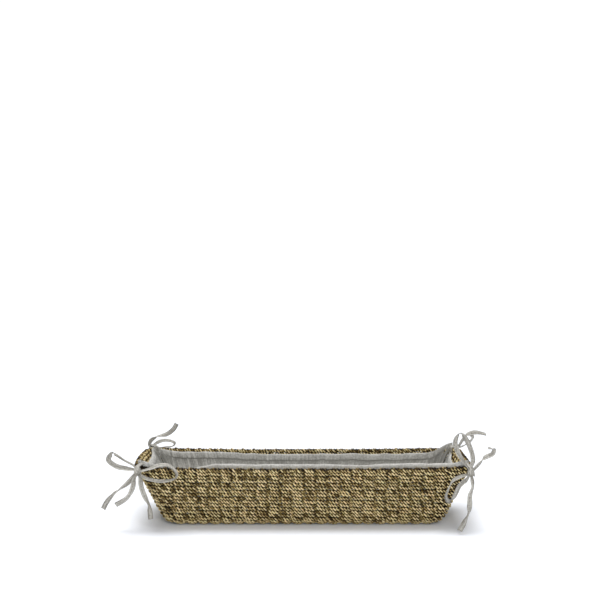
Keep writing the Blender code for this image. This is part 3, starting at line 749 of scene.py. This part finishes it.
def build_stitches(panels, material):
    """The line of stitches along the lower edge of each hem."""
    strands = Strands()
    radii = STITCH_RADIUS * np.array(STITCH_TAPER)
    tint = np.full((len(radii), 3), 0.5)
    for panel in panels:
        for start in np.arange(STITCH_MARGIN, panel.length - STITCH_MARGIN, STITCH_PITCH):
            places = start + np.linspace(0, STITCH_LENGTH, len(radii))
            top = np.interp(places, panel.along, panel.top_line)
            angles = np.interp(places, panel.along, panel.angles)
            shares = np.interp(places, panel.along, panel.shares)
            pucker = np.interp(places, panel.along, panel.pucker)
            depth = LINER_DEPTH + HEM_THICKNESS * (STITCHED_IN + 0.05 * pucker)
            points, normals = wall(top - HEM_HEIGHT * STITCHED_AT, angles, shares, depth, 0.0)
            strands.add(points, radii, 5, False, normals, tint)
    item = strands.build("hem_stitches", material)
    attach(item, "root")
    return item


FLOOR_COLUMNS, FLOOR_ROWS = 190, 60
FLOOR_MARGIN = 0.004  # how far the liner's floor reaches past the base, under the panels


def build_liner_floor(material):
    """The liner's floor, a flat sheet with soft creases."""
    columns, rows = FLOOR_COLUMNS, FLOOR_ROWS
    half_length = BASE_HALF_LENGTH + FLOOR_MARGIN
    half_width = BASE_HALF_WIDTH + FLOOR_MARGIN
    x = np.linspace(-half_length, half_length, columns)
    y = np.linspace(-half_width, half_width, rows)
    creases = 0.0005 * wander(x + 1, 0.03)[None, :] * wander(y + 1, 0.02)[:, None]
    creases = creases + 0.0004 * wander(x + 1, 0.07)[None, :] + 0.0003 * wander(y + 1, 0.05)[:, None]
    reach = np.maximum(np.abs(x)[None, :] / half_length, np.abs(y)[:, None] / half_width)
    z = FLOOR_TOP + creases * (1 - reach**4)
    radius = BASE_CORNER_RADIUS + FLOOR_MARGIN
    into_corner = np.maximum(np.abs(y) - (half_width - radius), 0)
    reach_there = half_length - radius + np.sqrt(radius**2 - into_corner**2)
    x_there = x[None, :] * (reach_there / half_length)[:, None]
    points = np.stack([x_there, np.broadcast_to(y[:, None], x_there.shape), z], -1).reshape(-1, 3)
    cloth = points * [1, 1, 0]
    item = add_mesh("cloth_floor", points, grid_faces(rows, columns), material, {"cloth": cloth})
    add_thickness(item, CLOTH_THICKNESS)
    finish_piece(item, "liner_floor")
    return item


# ---- The ribbons ---------------------------------------------------------------------------------

# Each ribbon is a list of places on its middle line, in millimetres, and the direction across
# its width at each place.
RIBBONS = {
    "front_left_loop_outer": (
        ((-250, -86, 88), (0.1, 1.0, 0.4)),
        ((-260, -89, 90), (0.0, 0.6, 0.8)),
        ((-275, -92, 94), (0.2, 0.2, 1.0)),
        ((-287, -91, 103), (0.8, 0.3, 0.4)),
        ((-283, -86, 111), (0.6, 0.5, -0.2)),
        ((-276, -82, 108), (0.4, 0.9, -0.1)),
        ((-266, -79, 100), (0.3, 1.0, -0.1)),
        ((-253, -79, 93), (0.1, 1.0, 0.2)),
    ),
    "front_left_loop_inner": (
        ((-240, -89, 86), (0.0, 1.0, 0.3)),
        ((-224, -91, 91), (0.0, 1.0, 0.4)),
        ((-211, -92, 96), (0.0, 1.0, 0.4)),
        ((-199, -92, 95), (0.2, 1.0, 0.3)),
        ((-190, -92, 88), (0.3, 1.0, 0.1)),
        ((-187, -92, 80), (0.3, 1.0, 0.0)),
        ((-194, -92, 74), (0.1, 1.0, 0.3)),
        ((-211, -92, 72), (0.0, 1.0, 0.4)),
        ((-228, -92, 75), (0.0, 1.0, 0.4)),
        ((-239, -90, 80), (0.0, 1.0, 0.3)),
    ),
    "front_left_tail_long": (
        ((-251, -87, 79), (0.9, 0.2, -0.5)),
        ((-259, -90, 69), (0.8, 0.3, -0.6)),
        ((-270, -92, 61), (0.2, 1.0, -0.3)),
        ((-279, -92, 54), (-0.4, 0.9, 0.4)),
        ((-290, -91, 41), (-0.9, 0.3, 0.5)),
        ((-296, -90, 30), (-1.0, 0.1, 0.4)),
    ),
    "front_left_tail_short": (
        ((-249, -94, 76), (0.8, -0.6, 0.0)),
        ((-251, -98, 64), (1.0, 0.1, 0.1)),
        ((-256, -99, 53), (0.8, 0.6, -0.3)),
        ((-264, -98, 45), (0.5, 0.5, -0.7)),
        ((-276, -97, 38), (0.4, 0.3, -0.9)),
    ),
    "front_left_tail_inner": (
        ((-241, -90, 77), (1.0, 0.1, 0.1)),
        ((-239, -92, 63), (1.0, 0.2, 0.2)),
        ((-234, -92, 49), (0.9, 0.5, 0.2)),
        ((-229, -91, 38), (0.2, 1.0, 0.1)),
        ((-227, -90, 27), (0.9, 0.5, -0.1)),
        ((-226, -89, 15), (1.0, 0.1, -0.1)),
    ),
    "front_right_loop_upper": (
        ((241, -88, 92), (0.4, 1.0, 0.0)),
        ((234, -90, 101), (0.6, 1.0, 0.3)),
        ((226, -90, 114), (1.0, 0.4, 0.4)),
        ((222, -89, 130), (1.0, 0.4, 0.1)),
        ((230, -86, 141), (0.4, 1.0, 0.0)),
        ((240, -83, 130), (1.0, 0.3, 0.3)),
        ((247, -82, 114), (1.0, 0.1, 0.5)),
        ((249, -83, 101), (1.0, 0.2, 0.2)),
        ((247, -84, 93), (1.0, 0.3, 0.0)),
    ),
    "front_right_loop_lower": (
        ((239, -89, 81), (0.0, 1.0, 0.3)),
        ((227, -92, 78), (0.0, 1.0, 0.4)),
        ((217, -94, 72), (0.1, 1.0, 0.2)),
        ((211, -95, 60), (0.3, 1.0, 0.0)),
        ((208, -96, 49), (0.5, 1.0, 0.3)),
        ((213, -97, 43), (0.5, 0.7, 0.8)),
        ((220, -99, 51), (0.8, 0.5, -0.4)),
        ((226, -99, 64), (0.9, 0.3, -0.5)),
        ((233, -96, 71), (0.8, 0.4, -0.6)),
        ((239, -91, 74), (0.6, 0.5, -0.6)),
    ),
    "front_right_tail_up": (
        ((252, -86, 90), (0.7, 0.5, -0.5)),
        ((260, -87, 99), (0.5, 1.0, -0.4)),
        ((268, -87, 107), (-0.4, 0.6, 0.8)),
        ((277, -87, 111), (-0.5, 0.7, 0.6)),
        ((279, -86, 118), (-0.8, 0.8, 0.1)),
        ((271, -85, 120), (0.0, 1.0, 0.4)),
    ),
    "front_right_tail_down": (
        ((247, -91, 74), (1.0, 0.0, 0.0)),
        ((247, -95, 64), (0.6, 0.8, 0.0)),
        ((243, -98, 52), (0.9, 0.4, 0.1)),
        ((242, -102, 39), (1.0, 0.1, 0.1)),
        ((239, -107, 27), (0.5, 0.9, 0.1)),
        ((232, -114, 15), (0.9, 0.4, 0.2)),
        ((225, -120, 5), (1.0, 0.1, 0.1)),
    ),
    "back_left_loop": (
        ((-244, 89, 92), (0.0, 0.9, 0.5)),
        ((-234, 91, 98), (0.0, 0.8, 0.6)),
        ((-222, 92, 100), (0.1, 0.9, 0.5)),
        ((-211, 94, 96), (0.3, 1.0, 0.2)),
        ((-213, 98, 90), (0.4, 1.0, 0.0)),
        ((-224, 99, 87), (0.1, 1.0, 0.2)),
        ((-235, 97, 86), (0.0, 1.0, 0.2)),
        ((-243, 92, 86), (0.0, 1.0, 0.2)),
    ),
    "back_left_tail_up": (
        ((-250, 86, 94), (1.0, 0.4, -0.3)),
        ((-246, 86, 102), (0.8, 0.4, -0.6)),
        ((-234, 85, 108), (0.1, 1.0, 0.2)),
        ((-222, 84, 111), (-0.5, 0.4, 0.9)),
        ((-211, 83, 119), (-0.6, 0.2, 0.7)),
        ((-205, 82, 129), (-0.7, 0.3, 0.4)),
    ),
    "back_left_tail_down": (
        ((-249, 90, 80), (1.0, 0.4, 0.0)),
        ((-250, 95, 68), (1.0, 0.2, 0.0)),
        ((-247, 97, 54), (0.8, 0.6, 0.0)),
        ((-244, 97, 40), (1.0, 0.1, 0.1)),
        ((-245, 97, 28), (1.0, -0.1, 0.1)),
    ),
    "back_right_loop": (
        ((253, 90, 93), (0.7, 0.6, -0.5)),
        ((260, 91, 103), (0.6, 0.5, -0.6)),
        ((267, 92, 110), (0.5, 0.9, 0.2)),
        ((275, 94, 105), (0.6, 0.8, 0.3)),
        ((270, 98, 96), (0.6, 0.8, -0.3)),
        ((259, 97, 90), (0.1, 1.0, -0.2)),
        ((251, 92, 88), (0.0, 1.0, 0.0)),
    ),
    "back_right_tail_out": (
        ((253, 77, 97), (0.5, 1.0, 0.0)),
        ((257, 76, 105), (0.5, 0.8, -0.4)),
        ((264, 76, 112), (0.2, 0.8, 0.6)),
        ((275, 78, 115), (0.0, 0.5, 0.9)),
        ((285, 80, 114), (0.0, 0.8, 0.6)),
        ((294, 82, 111), (0.0, 1.0, 0.3)),
    ),
    "back_right_tail_down": (
        ((247, 90, 80), (1.0, -0.4, 0.0)),
        ((248, 95, 68), (1.0, -0.2, 0.0)),
        ((244, 97, 55), (0.7, -0.7, 0.0)),
        ((242, 98, 41), (1.0, 0.1, 0.1)),
        ((245, 98, 27), (1.0, 0.2, 0.1)),
    ),
}

# Middle of each knot in millimetres, and the direction that its corner faces in plan
KNOTS = {
    "front_left": ((-246, -84, 84), LEFT + math.pi / 4),
    "front_right": ((246, -84, 83), FRONT + math.pi / 4),
    "back_left": ((-246, 84, 86), BACK + math.pi / 4),
    "back_right": ((246, 84, 87), RIGHT + math.pi / 4),
}
KNOT_HALF = np.array([0.005, 0.0045, 0.0065])
KNOT_WRAPS = ((0.25, -0.0012, 0.92), (-0.35, 0.0014, 0.98))  # lean, offset and size of each
WRAP_TURNS, WRAP_STEPS, WRAP_WIDTH = 1.08, 40, 0.0072
CORE_RINGS, CORE_SIDES = 16, 28
CORE_SIZE = np.array([1.05, 0.9, 0.92])
RIBBON_WIDTH, RIBBON_THICKNESS = 0.0074, 0.0007
RIBBON_STEP = 0.0011
RIBBON_RIPPLE, WRAP_RIPPLE, STRAP_RIPPLE = 0.0006, 0.0005, 0.0002
STRAP_WIDTH = 0.007
STRAP_DEPTH, STRAP_RISE = 0.0125, 0.003  # how far inside the rim a strap starts, and how high it goes
STRAP_STEPS = (5, 4, 7, 7, 5)
# strength of the creases along a ribbon, drawn as bumps and as painted shade
RIBBON_CREASES = 0.7
CUP = 0.0013  # how far a ribbon's middle stands out from its edges
TIED_WIDTH, TIED_LENGTH = 0.5, 0.009  # share of its width a ribbon is squeezed to in its knot
KNOT_ENTRY = 0.35  # how far from its knot's middle a ribbon starts, as a share

# Across a ribbon from edge to edge: place and thickness, with the turned edges thicker
RIBBON_SECTION = (
    (-1.0, 0.35),
    (-0.95, 1.25),
    (-0.74, 1.25),
    (-0.66, 0.8),
    (-0.35, 0.9),
    (0.0, 0.9),
    (0.35, 0.9),
    (0.66, 0.8),
    (0.74, 1.25),
    (0.95, 1.25),
    (1.0, 0.35),
)


def catmull(values, steps_per_span):
    """A smooth curve through the rows of values, with its number of steps for each span."""
    out = []
    last = len(values) - 1
    for i, count in enumerate(steps_per_span):
        p0, p1, p2, p3 = values[max(i - 1, 0)], values[i], values[i + 1], values[min(i + 2, last)]
        t = (np.arange(count) / count)[:, None]
        bend = (2 * p0 - 5 * p1 + 4 * p2 - p3) * t**2 + (3 * p1 - p0 - 3 * p2 + p3) * t**3
        out.append(0.5 * (2 * p1 + (p2 - p0) * t + bend))
    out.append(values[-1:])
    return np.vstack(out)


def strip(centres, across, width, ripple):
    """Points, faces and cloth coordinates of a ribbon with turned edges along a line."""
    ahead = unit(np.gradient(centres, axis=0))
    across = unit(across - ahead * np.sum(across * ahead, axis=1, keepdims=True))
    face = np.cross(ahead, across)
    along = distances_along(centres)
    widths = np.broadcast_to(width, along.shape)
    bend = ripple * wander(along + 1, 0.008)
    sway = ripple * wander(along + 1, 0.013)
    ring, cloth = [], []
    section = [(u, t, 1) for u, t in RIBBON_SECTION] + [(u, t, -1) for u, t in RIBBON_SECTION[::-1]]
    for u, share, side in section:
        out = CUP * (1 - u**2) + bend * (0.5 - u**2) + sway * u
        out = out + side * share * RIBBON_THICKNESS / 2
        ring.append(centres + across * (u * widths / 2)[:, None] + face * out[:, None])
        cloth.append(np.stack([u * widths / 2, along, np.full(len(along), side * 0.1)], -1))
    sides, count = len(section), len(centres)
    points = np.stack(ring, 1).reshape(-1, 3)
    faces = [ring_faces(count, sides)]
    for first in (0, (count - 1) * sides):
        for j in range(len(RIBBON_SECTION) - 1):
            a, b = first + j, first + j + 1
            c, d = first + sides - 2 - j, first + sides - 1 - j
            faces.append(np.array([[d, c, b, a] if first == 0 else [a, b, c, d]]))
    return points, np.vstack(faces), np.stack(cloth, 1).reshape(-1, 3)


def creased(cloth):
    """The attributes of a ribbon, which is creased along its length."""
    return {"cloth": cloth, "gather": np.tile([RIBBON_CREASES, 0.0, 0.0], (len(cloth), 1))}


def ribbon_line(places):
    """The middle line of a ribbon and the direction across it, closely spaced."""
    centres = np.array([place for place, _ in places], dtype=float) * MM
    widths = unit(np.array([width for _, width in places], dtype=float))
    spans = np.linalg.norm(np.diff(centres, axis=0), axis=1)
    counts = [max(2, round(span / RIBBON_STEP)) for span in spans]
    return catmull(centres, counts), catmull(widths, counts)


def corner_of(name):
    return "_".join(name.split("_")[:2])


def build_ribbon(name, places, material):
    """A loop or a tail of a bow, squeezed narrow where it goes into its knot."""
    knot = np.array(KNOTS[corner_of(name)][0], dtype=float)
    is_loop = "loop" in name
    into = [(knot + KNOT_ENTRY * (np.array(place) - knot), width) for place, width in places]
    places = [into[0], *places] + ([into[-1]] if is_loop else [])
    centres, across = ribbon_line(places)
    along = distances_along(centres)
    tied = np.exp(-((along / TIED_LENGTH) ** 2))
    if is_loop:
        tied = tied + np.exp(-(((along[-1] - along) / TIED_LENGTH) ** 2))
    widths = RIBBON_WIDTH * (1 - (1 - TIED_WIDTH) * np.clip(tied, 0, 1))
    points, faces, cloth = strip(centres, across, widths, RIBBON_RIPPLE)
    item = add_mesh(f"ribbon_{name}", points, faces, material, creased(cloth))
    finish_piece(item, name)
    return item, centres


def knot_wrap(centre, lean, offset, size):
    """A ribbon once round a knot."""
    turns = np.linspace(0, 2 * math.pi * WRAP_TURNS, WRAP_STEPS)
    y = KNOT_HALF[1] * size * np.sin(turns)
    z = KNOT_HALF[2] * size * np.cos(turns)
    centres = centre + np.stack([offset + lean * z * 0.5, y, z], -1)
    across = np.broadcast_to(unit(np.array([1.0, 0.0, -lean * 0.5])), centres.shape)
    return strip(centres, across, WRAP_WIDTH, WRAP_RIPPLE)


def knot_core(centre):
    """The crumpled middle of a knot."""
    from_top = np.linspace(0.05, math.pi - 0.05, CORE_RINGS)
    around = np.arange(CORE_SIDES) * 2 * math.pi / CORE_SIDES
    a, b = np.meshgrid(from_top, around, indexing="ij")
    fold = 0.86 + 0.10 * np.sin(5 * b + 2.5 * a) * np.sin(a) + 0.04 * np.sin(11 * b)
    core = np.stack([np.sin(a) * np.cos(b), np.sin(a) * np.sin(b), np.cos(a)], -1)
    core = centre + core * fold[..., None] * KNOT_HALF * CORE_SIZE
    cloth = np.stack([a * 0.006, b * 0.005, np.zeros_like(a)], -1)
    outward = [0, 3, 2, 1]  # rings run down from the top, so their faces are turned over
    return core.reshape(-1, 3), ring_faces(CORE_RINGS, CORE_SIDES)[:, outward], cloth.reshape(-1, 3)


def build_knot(corner, material):
    """A ribbon wrapped twice round the crossing, over a crumpled core."""
    centre = np.array(KNOTS[corner][0]) * MM
    parts = [knot_wrap(centre, *wrap) for wrap in KNOT_WRAPS] + [knot_core(centre)]
    points = np.vstack([part[0] for part in parts])
    starts = np.cumsum([0] + [len(part[0]) for part in parts])
    faces = np.vstack([part[1] + start for part, start in zip(parts, starts)])
    cloth = np.vstack([part[2] for part in parts])
    item = add_mesh(f"wrapped_{corner}_knot", points, faces, material, creased(cloth))
    finish_piece(item, f"{corner}_knot")
    return item


def build_strap(corner, material):
    """The ribbon from a corner of the liner over the rim to its knot."""
    knot, angle = KNOTS[corner]
    knot = np.array(knot) * MM
    (outer,), (normal,) = wall(np.array([RIM_HEIGHT]), angle, 0.5)
    plan = unit(normal * [1, 1, 0])
    up = np.array([0.0, 0.0, 1.0])
    places = [
        outer - plan * STRAP_DEPTH - up * STRAP_RISE * 2,
        outer - plan * STRAP_DEPTH + up * STRAP_RISE / 6,
        outer - plan * (STRAP_DEPTH - STRAP_RISE) + up * STRAP_RISE,
        outer + up * STRAP_RISE,
        knot + up * (KNOT_HALF[2] + STRAP_RISE / 3),
        knot + plan * 0.002 + up * KNOT_HALF[2] * 0.4,
    ]
    centres = catmull(np.array(places), STRAP_STEPS)
    across = np.broadcast_to([-plan[1], plan[0], 0.0], centres.shape)
    points, faces, cloth = strip(centres, across, STRAP_WIDTH, STRAP_RIPPLE)
    item = add_mesh(f"ribbon_{corner}_strap", points, faces, material, creased(cloth))
    finish_piece(item, f"{corner}_strap")
    return item


# ---- Materials -----------------------------------------------------------------------------------


def new_material(name):
    material = bpy.data.materials.new(name)
    material.use_nodes = True
    tree = material.node_tree
    return material, tree, tree.nodes["Principled BSDF"]


def add_node(tree, kind, values=None, **settings):
    node = tree.nodes.new(kind)
    for key, value in settings.items():
        setattr(node, key, value)
    for key, value in (values or {}).items():
        socket = node.inputs[key]
        if isinstance(value, bpy.types.NodeSocket):
            tree.links.new(value, socket)
        else:
            socket.default_value = value
    return node


def colour_ramp(tree, factor, stops):
    node = add_node(tree, "ShaderNodeValToRGB", {"Fac": factor})
    ramp = node.color_ramp
    while len(ramp.elements) < len(stops):
        ramp.elements.new(0.5)
    for element, (place, colour) in zip(ramp.elements, stops):
        element.position = place
        element.color = (*colour, 1.0)
    return node.outputs["Color"]


def mix_colour(tree, factor, first, second, blend="MIX"):
    node = add_node(tree, "ShaderNodeMix", data_type="RGBA", blend_type=blend)
    for index, value in ((0, factor), (6, first), (7, second)):
        if isinstance(value, bpy.types.NodeSocket):
            tree.links.new(value, node.inputs[index])
        else:
            node.inputs[index].default_value = value if index == 0 else (*value, 1.0)
    return node.outputs[2]


def maths(tree, operation, first, second, third=0.0):
    values = {0: first, 1: second, 2: third}
    return add_node(tree, "ShaderNodeMath", values, operation=operation).outputs[0]


def vector_maths(tree, operation, first, second):
    values = {0: first, 1: second}
    return add_node(tree, "ShaderNodeVectorMath", values, operation=operation).outputs[0]


def read_attribute(tree, name):
    """An attribute of the mesh, as a vector and as its three parts."""
    vector = add_node(tree, "ShaderNodeAttribute", attribute_name=name).outputs["Vector"]
    return vector, add_node(tree, "ShaderNodeSeparateXYZ", {"Vector": vector}).outputs


def noise(tree, vector, scale, detail, roughness=0.5):
    """Noise along a vector. The scale is a number, or three of them for a stretched noise."""
    if isinstance(scale, tuple):
        vector = add_node(tree, "ShaderNodeMapping", {"Vector": vector, "Scale": scale}).outputs[0]
        scale = 1.0
    values = {"Vector": vector, "Scale": scale, "Detail": detail, "Roughness": roughness}
    return add_node(tree, "ShaderNodeTexNoise", values).outputs


def bump(tree, height, strength, distance, normal=None):
    values = {"Strength": strength, "Distance": distance, "Height": height}
    if normal is not None:
        values["Normal"] = normal
    return add_node(tree, "ShaderNodeBump", values).outputs["Normal"]


def link_shader(tree, shader, colour, rough, normal):
    tree.links.new(colour, shader.inputs["Base Color"])
    tree.links.new(rough, shader.inputs["Roughness"])
    tree.links.new(normal, shader.inputs["Normal"])


STREAK_SCALE, STREAK_AMOUNT = (140.0, 1500.0, 1500.0), 0.55
PATCH_SCALE, PATCH_AMOUNT = 210.0, 0.24
TONE_CONTRAST, TONE_SHIFT = 2.0, -1.37
GREEN, GREEN_AMOUNT = (0.70, 0.78, 0.50), 0.35
RUDDY, RUDDY_AMOUNT = (1.0, 0.72, 0.50), 0.35
SEAGRASS_COLOURS = (
    (0.0, (0.012, 0.007, 0.003)),
    (0.25, (0.055, 0.034, 0.011)),
    (0.48, (0.175, 0.118, 0.042)),
    (0.72, (0.410, 0.300, 0.125)),
    (1.0, (0.900, 0.760, 0.460)),
)


def seagrass_material(name, shade):
    """Dried grass cord: fibres along each ply, patchy straw, olive and brown."""
    material, tree, shader = new_material(name)
    fibre, _ = read_attribute(tree, "fibre")
    _, tint = read_attribute(tree, "tint")
    streaks = noise(tree, fibre, STREAK_SCALE, 3.0)["Fac"]
    patches = noise(tree, fibre, PATCH_SCALE, 2.0, 0.6)["Fac"]
    # the X of tint is the cord's tone with its painted shade in it
    tone = maths(tree, "MULTIPLY_ADD", streaks, STREAK_AMOUNT, tint["X"])
    tone = maths(tree, "MULTIPLY_ADD", patches, PATCH_AMOUNT, tone)
    tone = maths(tree, "MULTIPLY_ADD", tone, TONE_CONTRAST, TONE_SHIFT)
    # a shade under 1 makes a darker copy of the material, as painted shade
    stops = [(place, tuple(c * shade for c in colour)) for place, colour in SEAGRASS_COLOURS]
    colour = colour_ramp(tree, tone, stops)
    green = maths(tree, "MULTIPLY", tint["Y"], GREEN_AMOUNT)
    colour = mix_colour(tree, green, colour, GREEN, "MULTIPLY")
    ruddy = maths(tree, "MULTIPLY", maths(tree, "POWER", tint["Z"], 3.0), RUDDY_AMOUNT)
    colour = mix_colour(tree, ruddy, colour, RUDDY, "MULTIPLY")
    rough = maths(tree, "MULTIPLY_ADD", streaks, 0.35, 0.42)
    link_shader(tree, shader, colour, rough, bump(tree, streaks, 0.7, 0.0004))
    shader.inputs["Specular IOR Level"].default_value = 0.14
    return material


THREAD_WOBBLE = (0.0005, 0.0005, 0.0)
SLUB_SCALES = ((60.0, 1400.0, 1.0), (1400.0, 60.0, 1.0))
PLEAT_SCALE, PLEAT_SHADE = (330.0, 22.0, 1.0), 2.6
WEAVE_AMOUNT, BROAD_AMOUNT, FINE_AMOUNT = 0.30, 0.35, 0.9
CLOTH_CONTRAST, CLOTH_SHIFT = 1.6, -1.18


def cloth_material(name, light, dark, pitch, slub):
    """Plain woven linen: two sets of threads, slubs, slightly uneven dye, and gathers in bumps and
    painted shade.

    The cloth attribute is the place on the flat cloth. Of the gather attribute, X is the strength of
    the pleats, drawn as bumps and as painted shade, and Y the painted shade that darkens the cloth,
    which is painted light where it is below 0.
    """
    material, tree, shader = new_material(name)
    cloth, _ = read_attribute(tree, "cloth")
    _, pleats_and_shade = read_attribute(tree, "gather")
    wobble = noise(tree, cloth, 180.0, 2.0)["Color"]
    bent = vector_maths(tree, "ADD", cloth, vector_maths(tree, "MULTIPLY", wobble, THREAD_WOBBLE))
    bands = {"Vector": bent, "Scale": 1.0 / pitch / math.pi / 2, "Distortion": 0.0}
    threads = [
        add_node(tree, "ShaderNodeTexWave", bands, wave_type="BANDS", bands_direction=direction)
        for direction in ("X", "Y")
    ]
    weave = maths(tree, "MULTIPLY", threads[0].outputs["Fac"], threads[1].outputs["Fac"])
    slubs = [noise(tree, cloth, scale, 2.0)["Fac"] for scale in SLUB_SCALES]
    slubbed = maths(tree, "ADD", slubs[0], slubs[1])
    broad = noise(tree, cloth, 45.0, 3.0)["Fac"]
    fine = noise(tree, cloth, 420.0, 2.0)["Fac"]
    tone = maths(tree, "MULTIPLY_ADD", weave, WEAVE_AMOUNT, maths(tree, "MULTIPLY", slubbed, slub))
    tone = maths(tree, "MULTIPLY_ADD", broad, BROAD_AMOUNT, tone)
    tone = maths(tree, "MULTIPLY_ADD", fine, FINE_AMOUNT, tone)
    tone = maths(tree, "MULTIPLY_ADD", tone, CLOTH_CONTRAST, CLOTH_SHIFT)
    # painted shade from the gather attribute
    tone = maths(tree, "SUBTRACT", tone, pleats_and_shade["Y"])
    pleats = maths(tree, "SUBTRACT", noise(tree, cloth, PLEAT_SCALE, 1.0)["Fac"], 0.5)
    pleats = maths(tree, "MULTIPLY", pleats, pleats_and_shade["X"])
    # painted shade on the pleats
    tone = maths(tree, "MULTIPLY_ADD", pleats, PLEAT_SHADE, tone)
    colour = colour_ramp(tree, tone, ((0.05, dark), (0.95, light)))
    rough = maths(tree, "MULTIPLY_ADD", slubbed, -0.12, 0.95)
    threaded = bump(tree, maths(tree, "MULTIPLY_ADD", slubbed, 0.5, weave), 0.6, 0.00025)
    link_shader(tree, shader, colour, rough, bump(tree, pleats, 0.8, 0.003, threaded))
    shader.inputs["Specular IOR Level"].default_value = 0.2
    shader.inputs["Sheen Weight"].default_value = 0.15
    return material


def floor_material():
    material, _, shader = new_material("pale_floor")
    shader.inputs["Base Color"].default_value = (0.90, 0.925, 0.98, 1.0)
    shader.inputs["Roughness"].default_value = 0.9
    shader.inputs["Specular IOR Level"].default_value = 0.1
    return material


# ---- The pieces ----------------------------------------------------------------------------------

seagrass = seagrass_material("seagrass_cord", 1.0)
# the stakes' copy is darker as painted shade, for the gaps between the cords
shaded_stake_seagrass = seagrass_material("seagrass_stake", 0.45)
linen = cloth_material("grey_linen", (0.62, 0.612, 0.585), (0.27, 0.265, 0.245), 0.0006, 0.35)
ribbon_linen = cloth_material("ribbon_linen", (0.64, 0.62, 0.57), (0.20, 0.19, 0.165), 0.0005, 0.3)

ribbons = {name: build_ribbon(name, places, ribbon_linen) for name, places in RIBBONS.items()}
knots = {corner: build_knot(corner, ribbon_linen) for corner in KNOTS}
straps = {corner: build_strap(corner, ribbon_linen) for corner in KNOTS}

build_courses(seagrass)
build_border(seagrass)
build_stakes(shaded_stake_seagrass)
build_base(seagrass)

panels = [
    Panel(
        "back",
        BACK,
        top=0.0828,
        sag=0.0005,
        corner_top=0.0905,
        ribs=0.0012,
        billow=((0.045, 0.0042, 0.012), (0.017, 0.0020, 0.006)),
        turns=(40, 47),
        slope=0.0030,
        pleat_slope=0.5,
        drawn=(1.0, 0.35),
    ),
    Panel(
        "front",
        FRONT,
        top=0.0915,
        sag=-0.0005,
        corner_top=0.0900,
        ribs=0.0009,
        billow=((0.05, 0.0020, 0.01), (0.018, 0.0010, 0.006)),
        turns=(43.5, 43.5),
        dips=((0.11, 0.009, 0.030),),
        # the front hem is drawn paler, as painted light
        painted_light=0.16,
    ),
    Panel(
        "end_left",
        LEFT,
        top=0.0860,
        sag=0.0060,
        corner_top=0.0910,
        ribs=0.0013,
        billow=((0.03, 0.0028, 0.01), (0.013, 0.0015, 0.006)),
        turns=(33, 43.5),
        drawn=(0.4, 1.0),
    ),
    Panel(
        "end_right",
        RIGHT,
        top=0.0800,
        sag=0.0060,
        corner_top=0.0900,
        ribs=0.0013,
        billow=((0.03, 0.0028, 0.01), (0.013, 0.0015, 0.006)),
        turns=(43.5, 39),
        drawn=(1.0, 0.2),
    ),
]
hems = [build_hem(panel, linen) for panel in panels]
stitches = build_stitches(panels, linen)
for panel, hem in zip(panels, hems):
    cloth, up = build_panel(panel, linen)
liner_floor = build_liner_floor(linen)

# ---- Floor, light and camera ---------------------------------------------------------------------

bpy.ops.mesh.primitive_plane_add(size=8.0, location=(0.0, 1.0, 0.0))
floor = bpy.context.object
floor.name = "studio_floor"
floor.data.materials.append(floor_material())


def add_to_scene(name, data, location, rotation):
    item = bpy.data.objects.new(name, data)
    item.location, item.rotation_euler = location, rotation
    bpy.context.scene.collection.objects.link(item)
    return item


# A soft sun from above and a little behind, which puts the shadow in front of the basket
SUN_ENERGY, SUN_ANGLE, SUN_TILT = 3.2, math.radians(42), (math.radians(-20), math.radians(-4), 0.0)
sun_data = bpy.data.lights.new("soft_sun", "SUN")
sun_data.energy, sun_data.angle = SUN_ENERGY, SUN_ANGLE
add_to_scene("soft_sun", sun_data, (0.0, 0.0, 0.0), SUN_TILT)

FRONT_PLACE, FRONT_TARGET, FRONT_POWER = Vector((0.3, -2.3, 1.05)), Vector((0.0, 0.0, 0.05)), 26.0
front_data = bpy.data.lights.new("front", "AREA")
front_data.shape, front_data.size, front_data.energy = "SQUARE", 1.0, FRONT_POWER
front_data.color = (1.0, 0.99, 0.97)
aim = (FRONT_TARGET - FRONT_PLACE).to_track_quat("-Z", "Y").to_euler()
add_to_scene("front", front_data, FRONT_PLACE, aim)

# The background looks white, and lights the basket less brightly than it looks.
AMBIENT, WHITE = 0.30, 1.05
world = bpy.data.worlds.new("studio")
world.use_nodes = True
world_tree = world.node_tree
path = world_tree.nodes.new("ShaderNodeLightPath")
strength = world_tree.nodes.new("ShaderNodeMath")
strength.operation = "MULTIPLY_ADD"
strength.inputs[1].default_value = WHITE - AMBIENT
strength.inputs[2].default_value = AMBIENT
world_tree.links.new(path.outputs["Is Camera Ray"], strength.inputs[0])
background = world_tree.nodes["Background"]
background.inputs["Color"].default_value = (1.0, 1.0, 1.0, 1.0)
world_tree.links.new(strength.outputs[0], background.inputs["Strength"])
bpy.context.scene.world = world
bpy.context.scene.view_settings.view_transform = "Standard"

CAMERA_PLACE, CAMERA_PITCH = (-0.006, -1.784, 0.433), math.radians(3.2)
SENSOR_WIDTH, LENS = 36.0, 69.85  # millimetres
camera_data = bpy.data.cameras.new("camera")
camera_data.sensor_width, camera_data.lens = SENSOR_WIDTH, LENS
camera_turn = (math.pi / 2 - CAMERA_PITCH, 0.0, 0.0)
bpy.context.scene.camera = add_to_scene("camera", camera_data, CAMERA_PLACE, camera_turn)
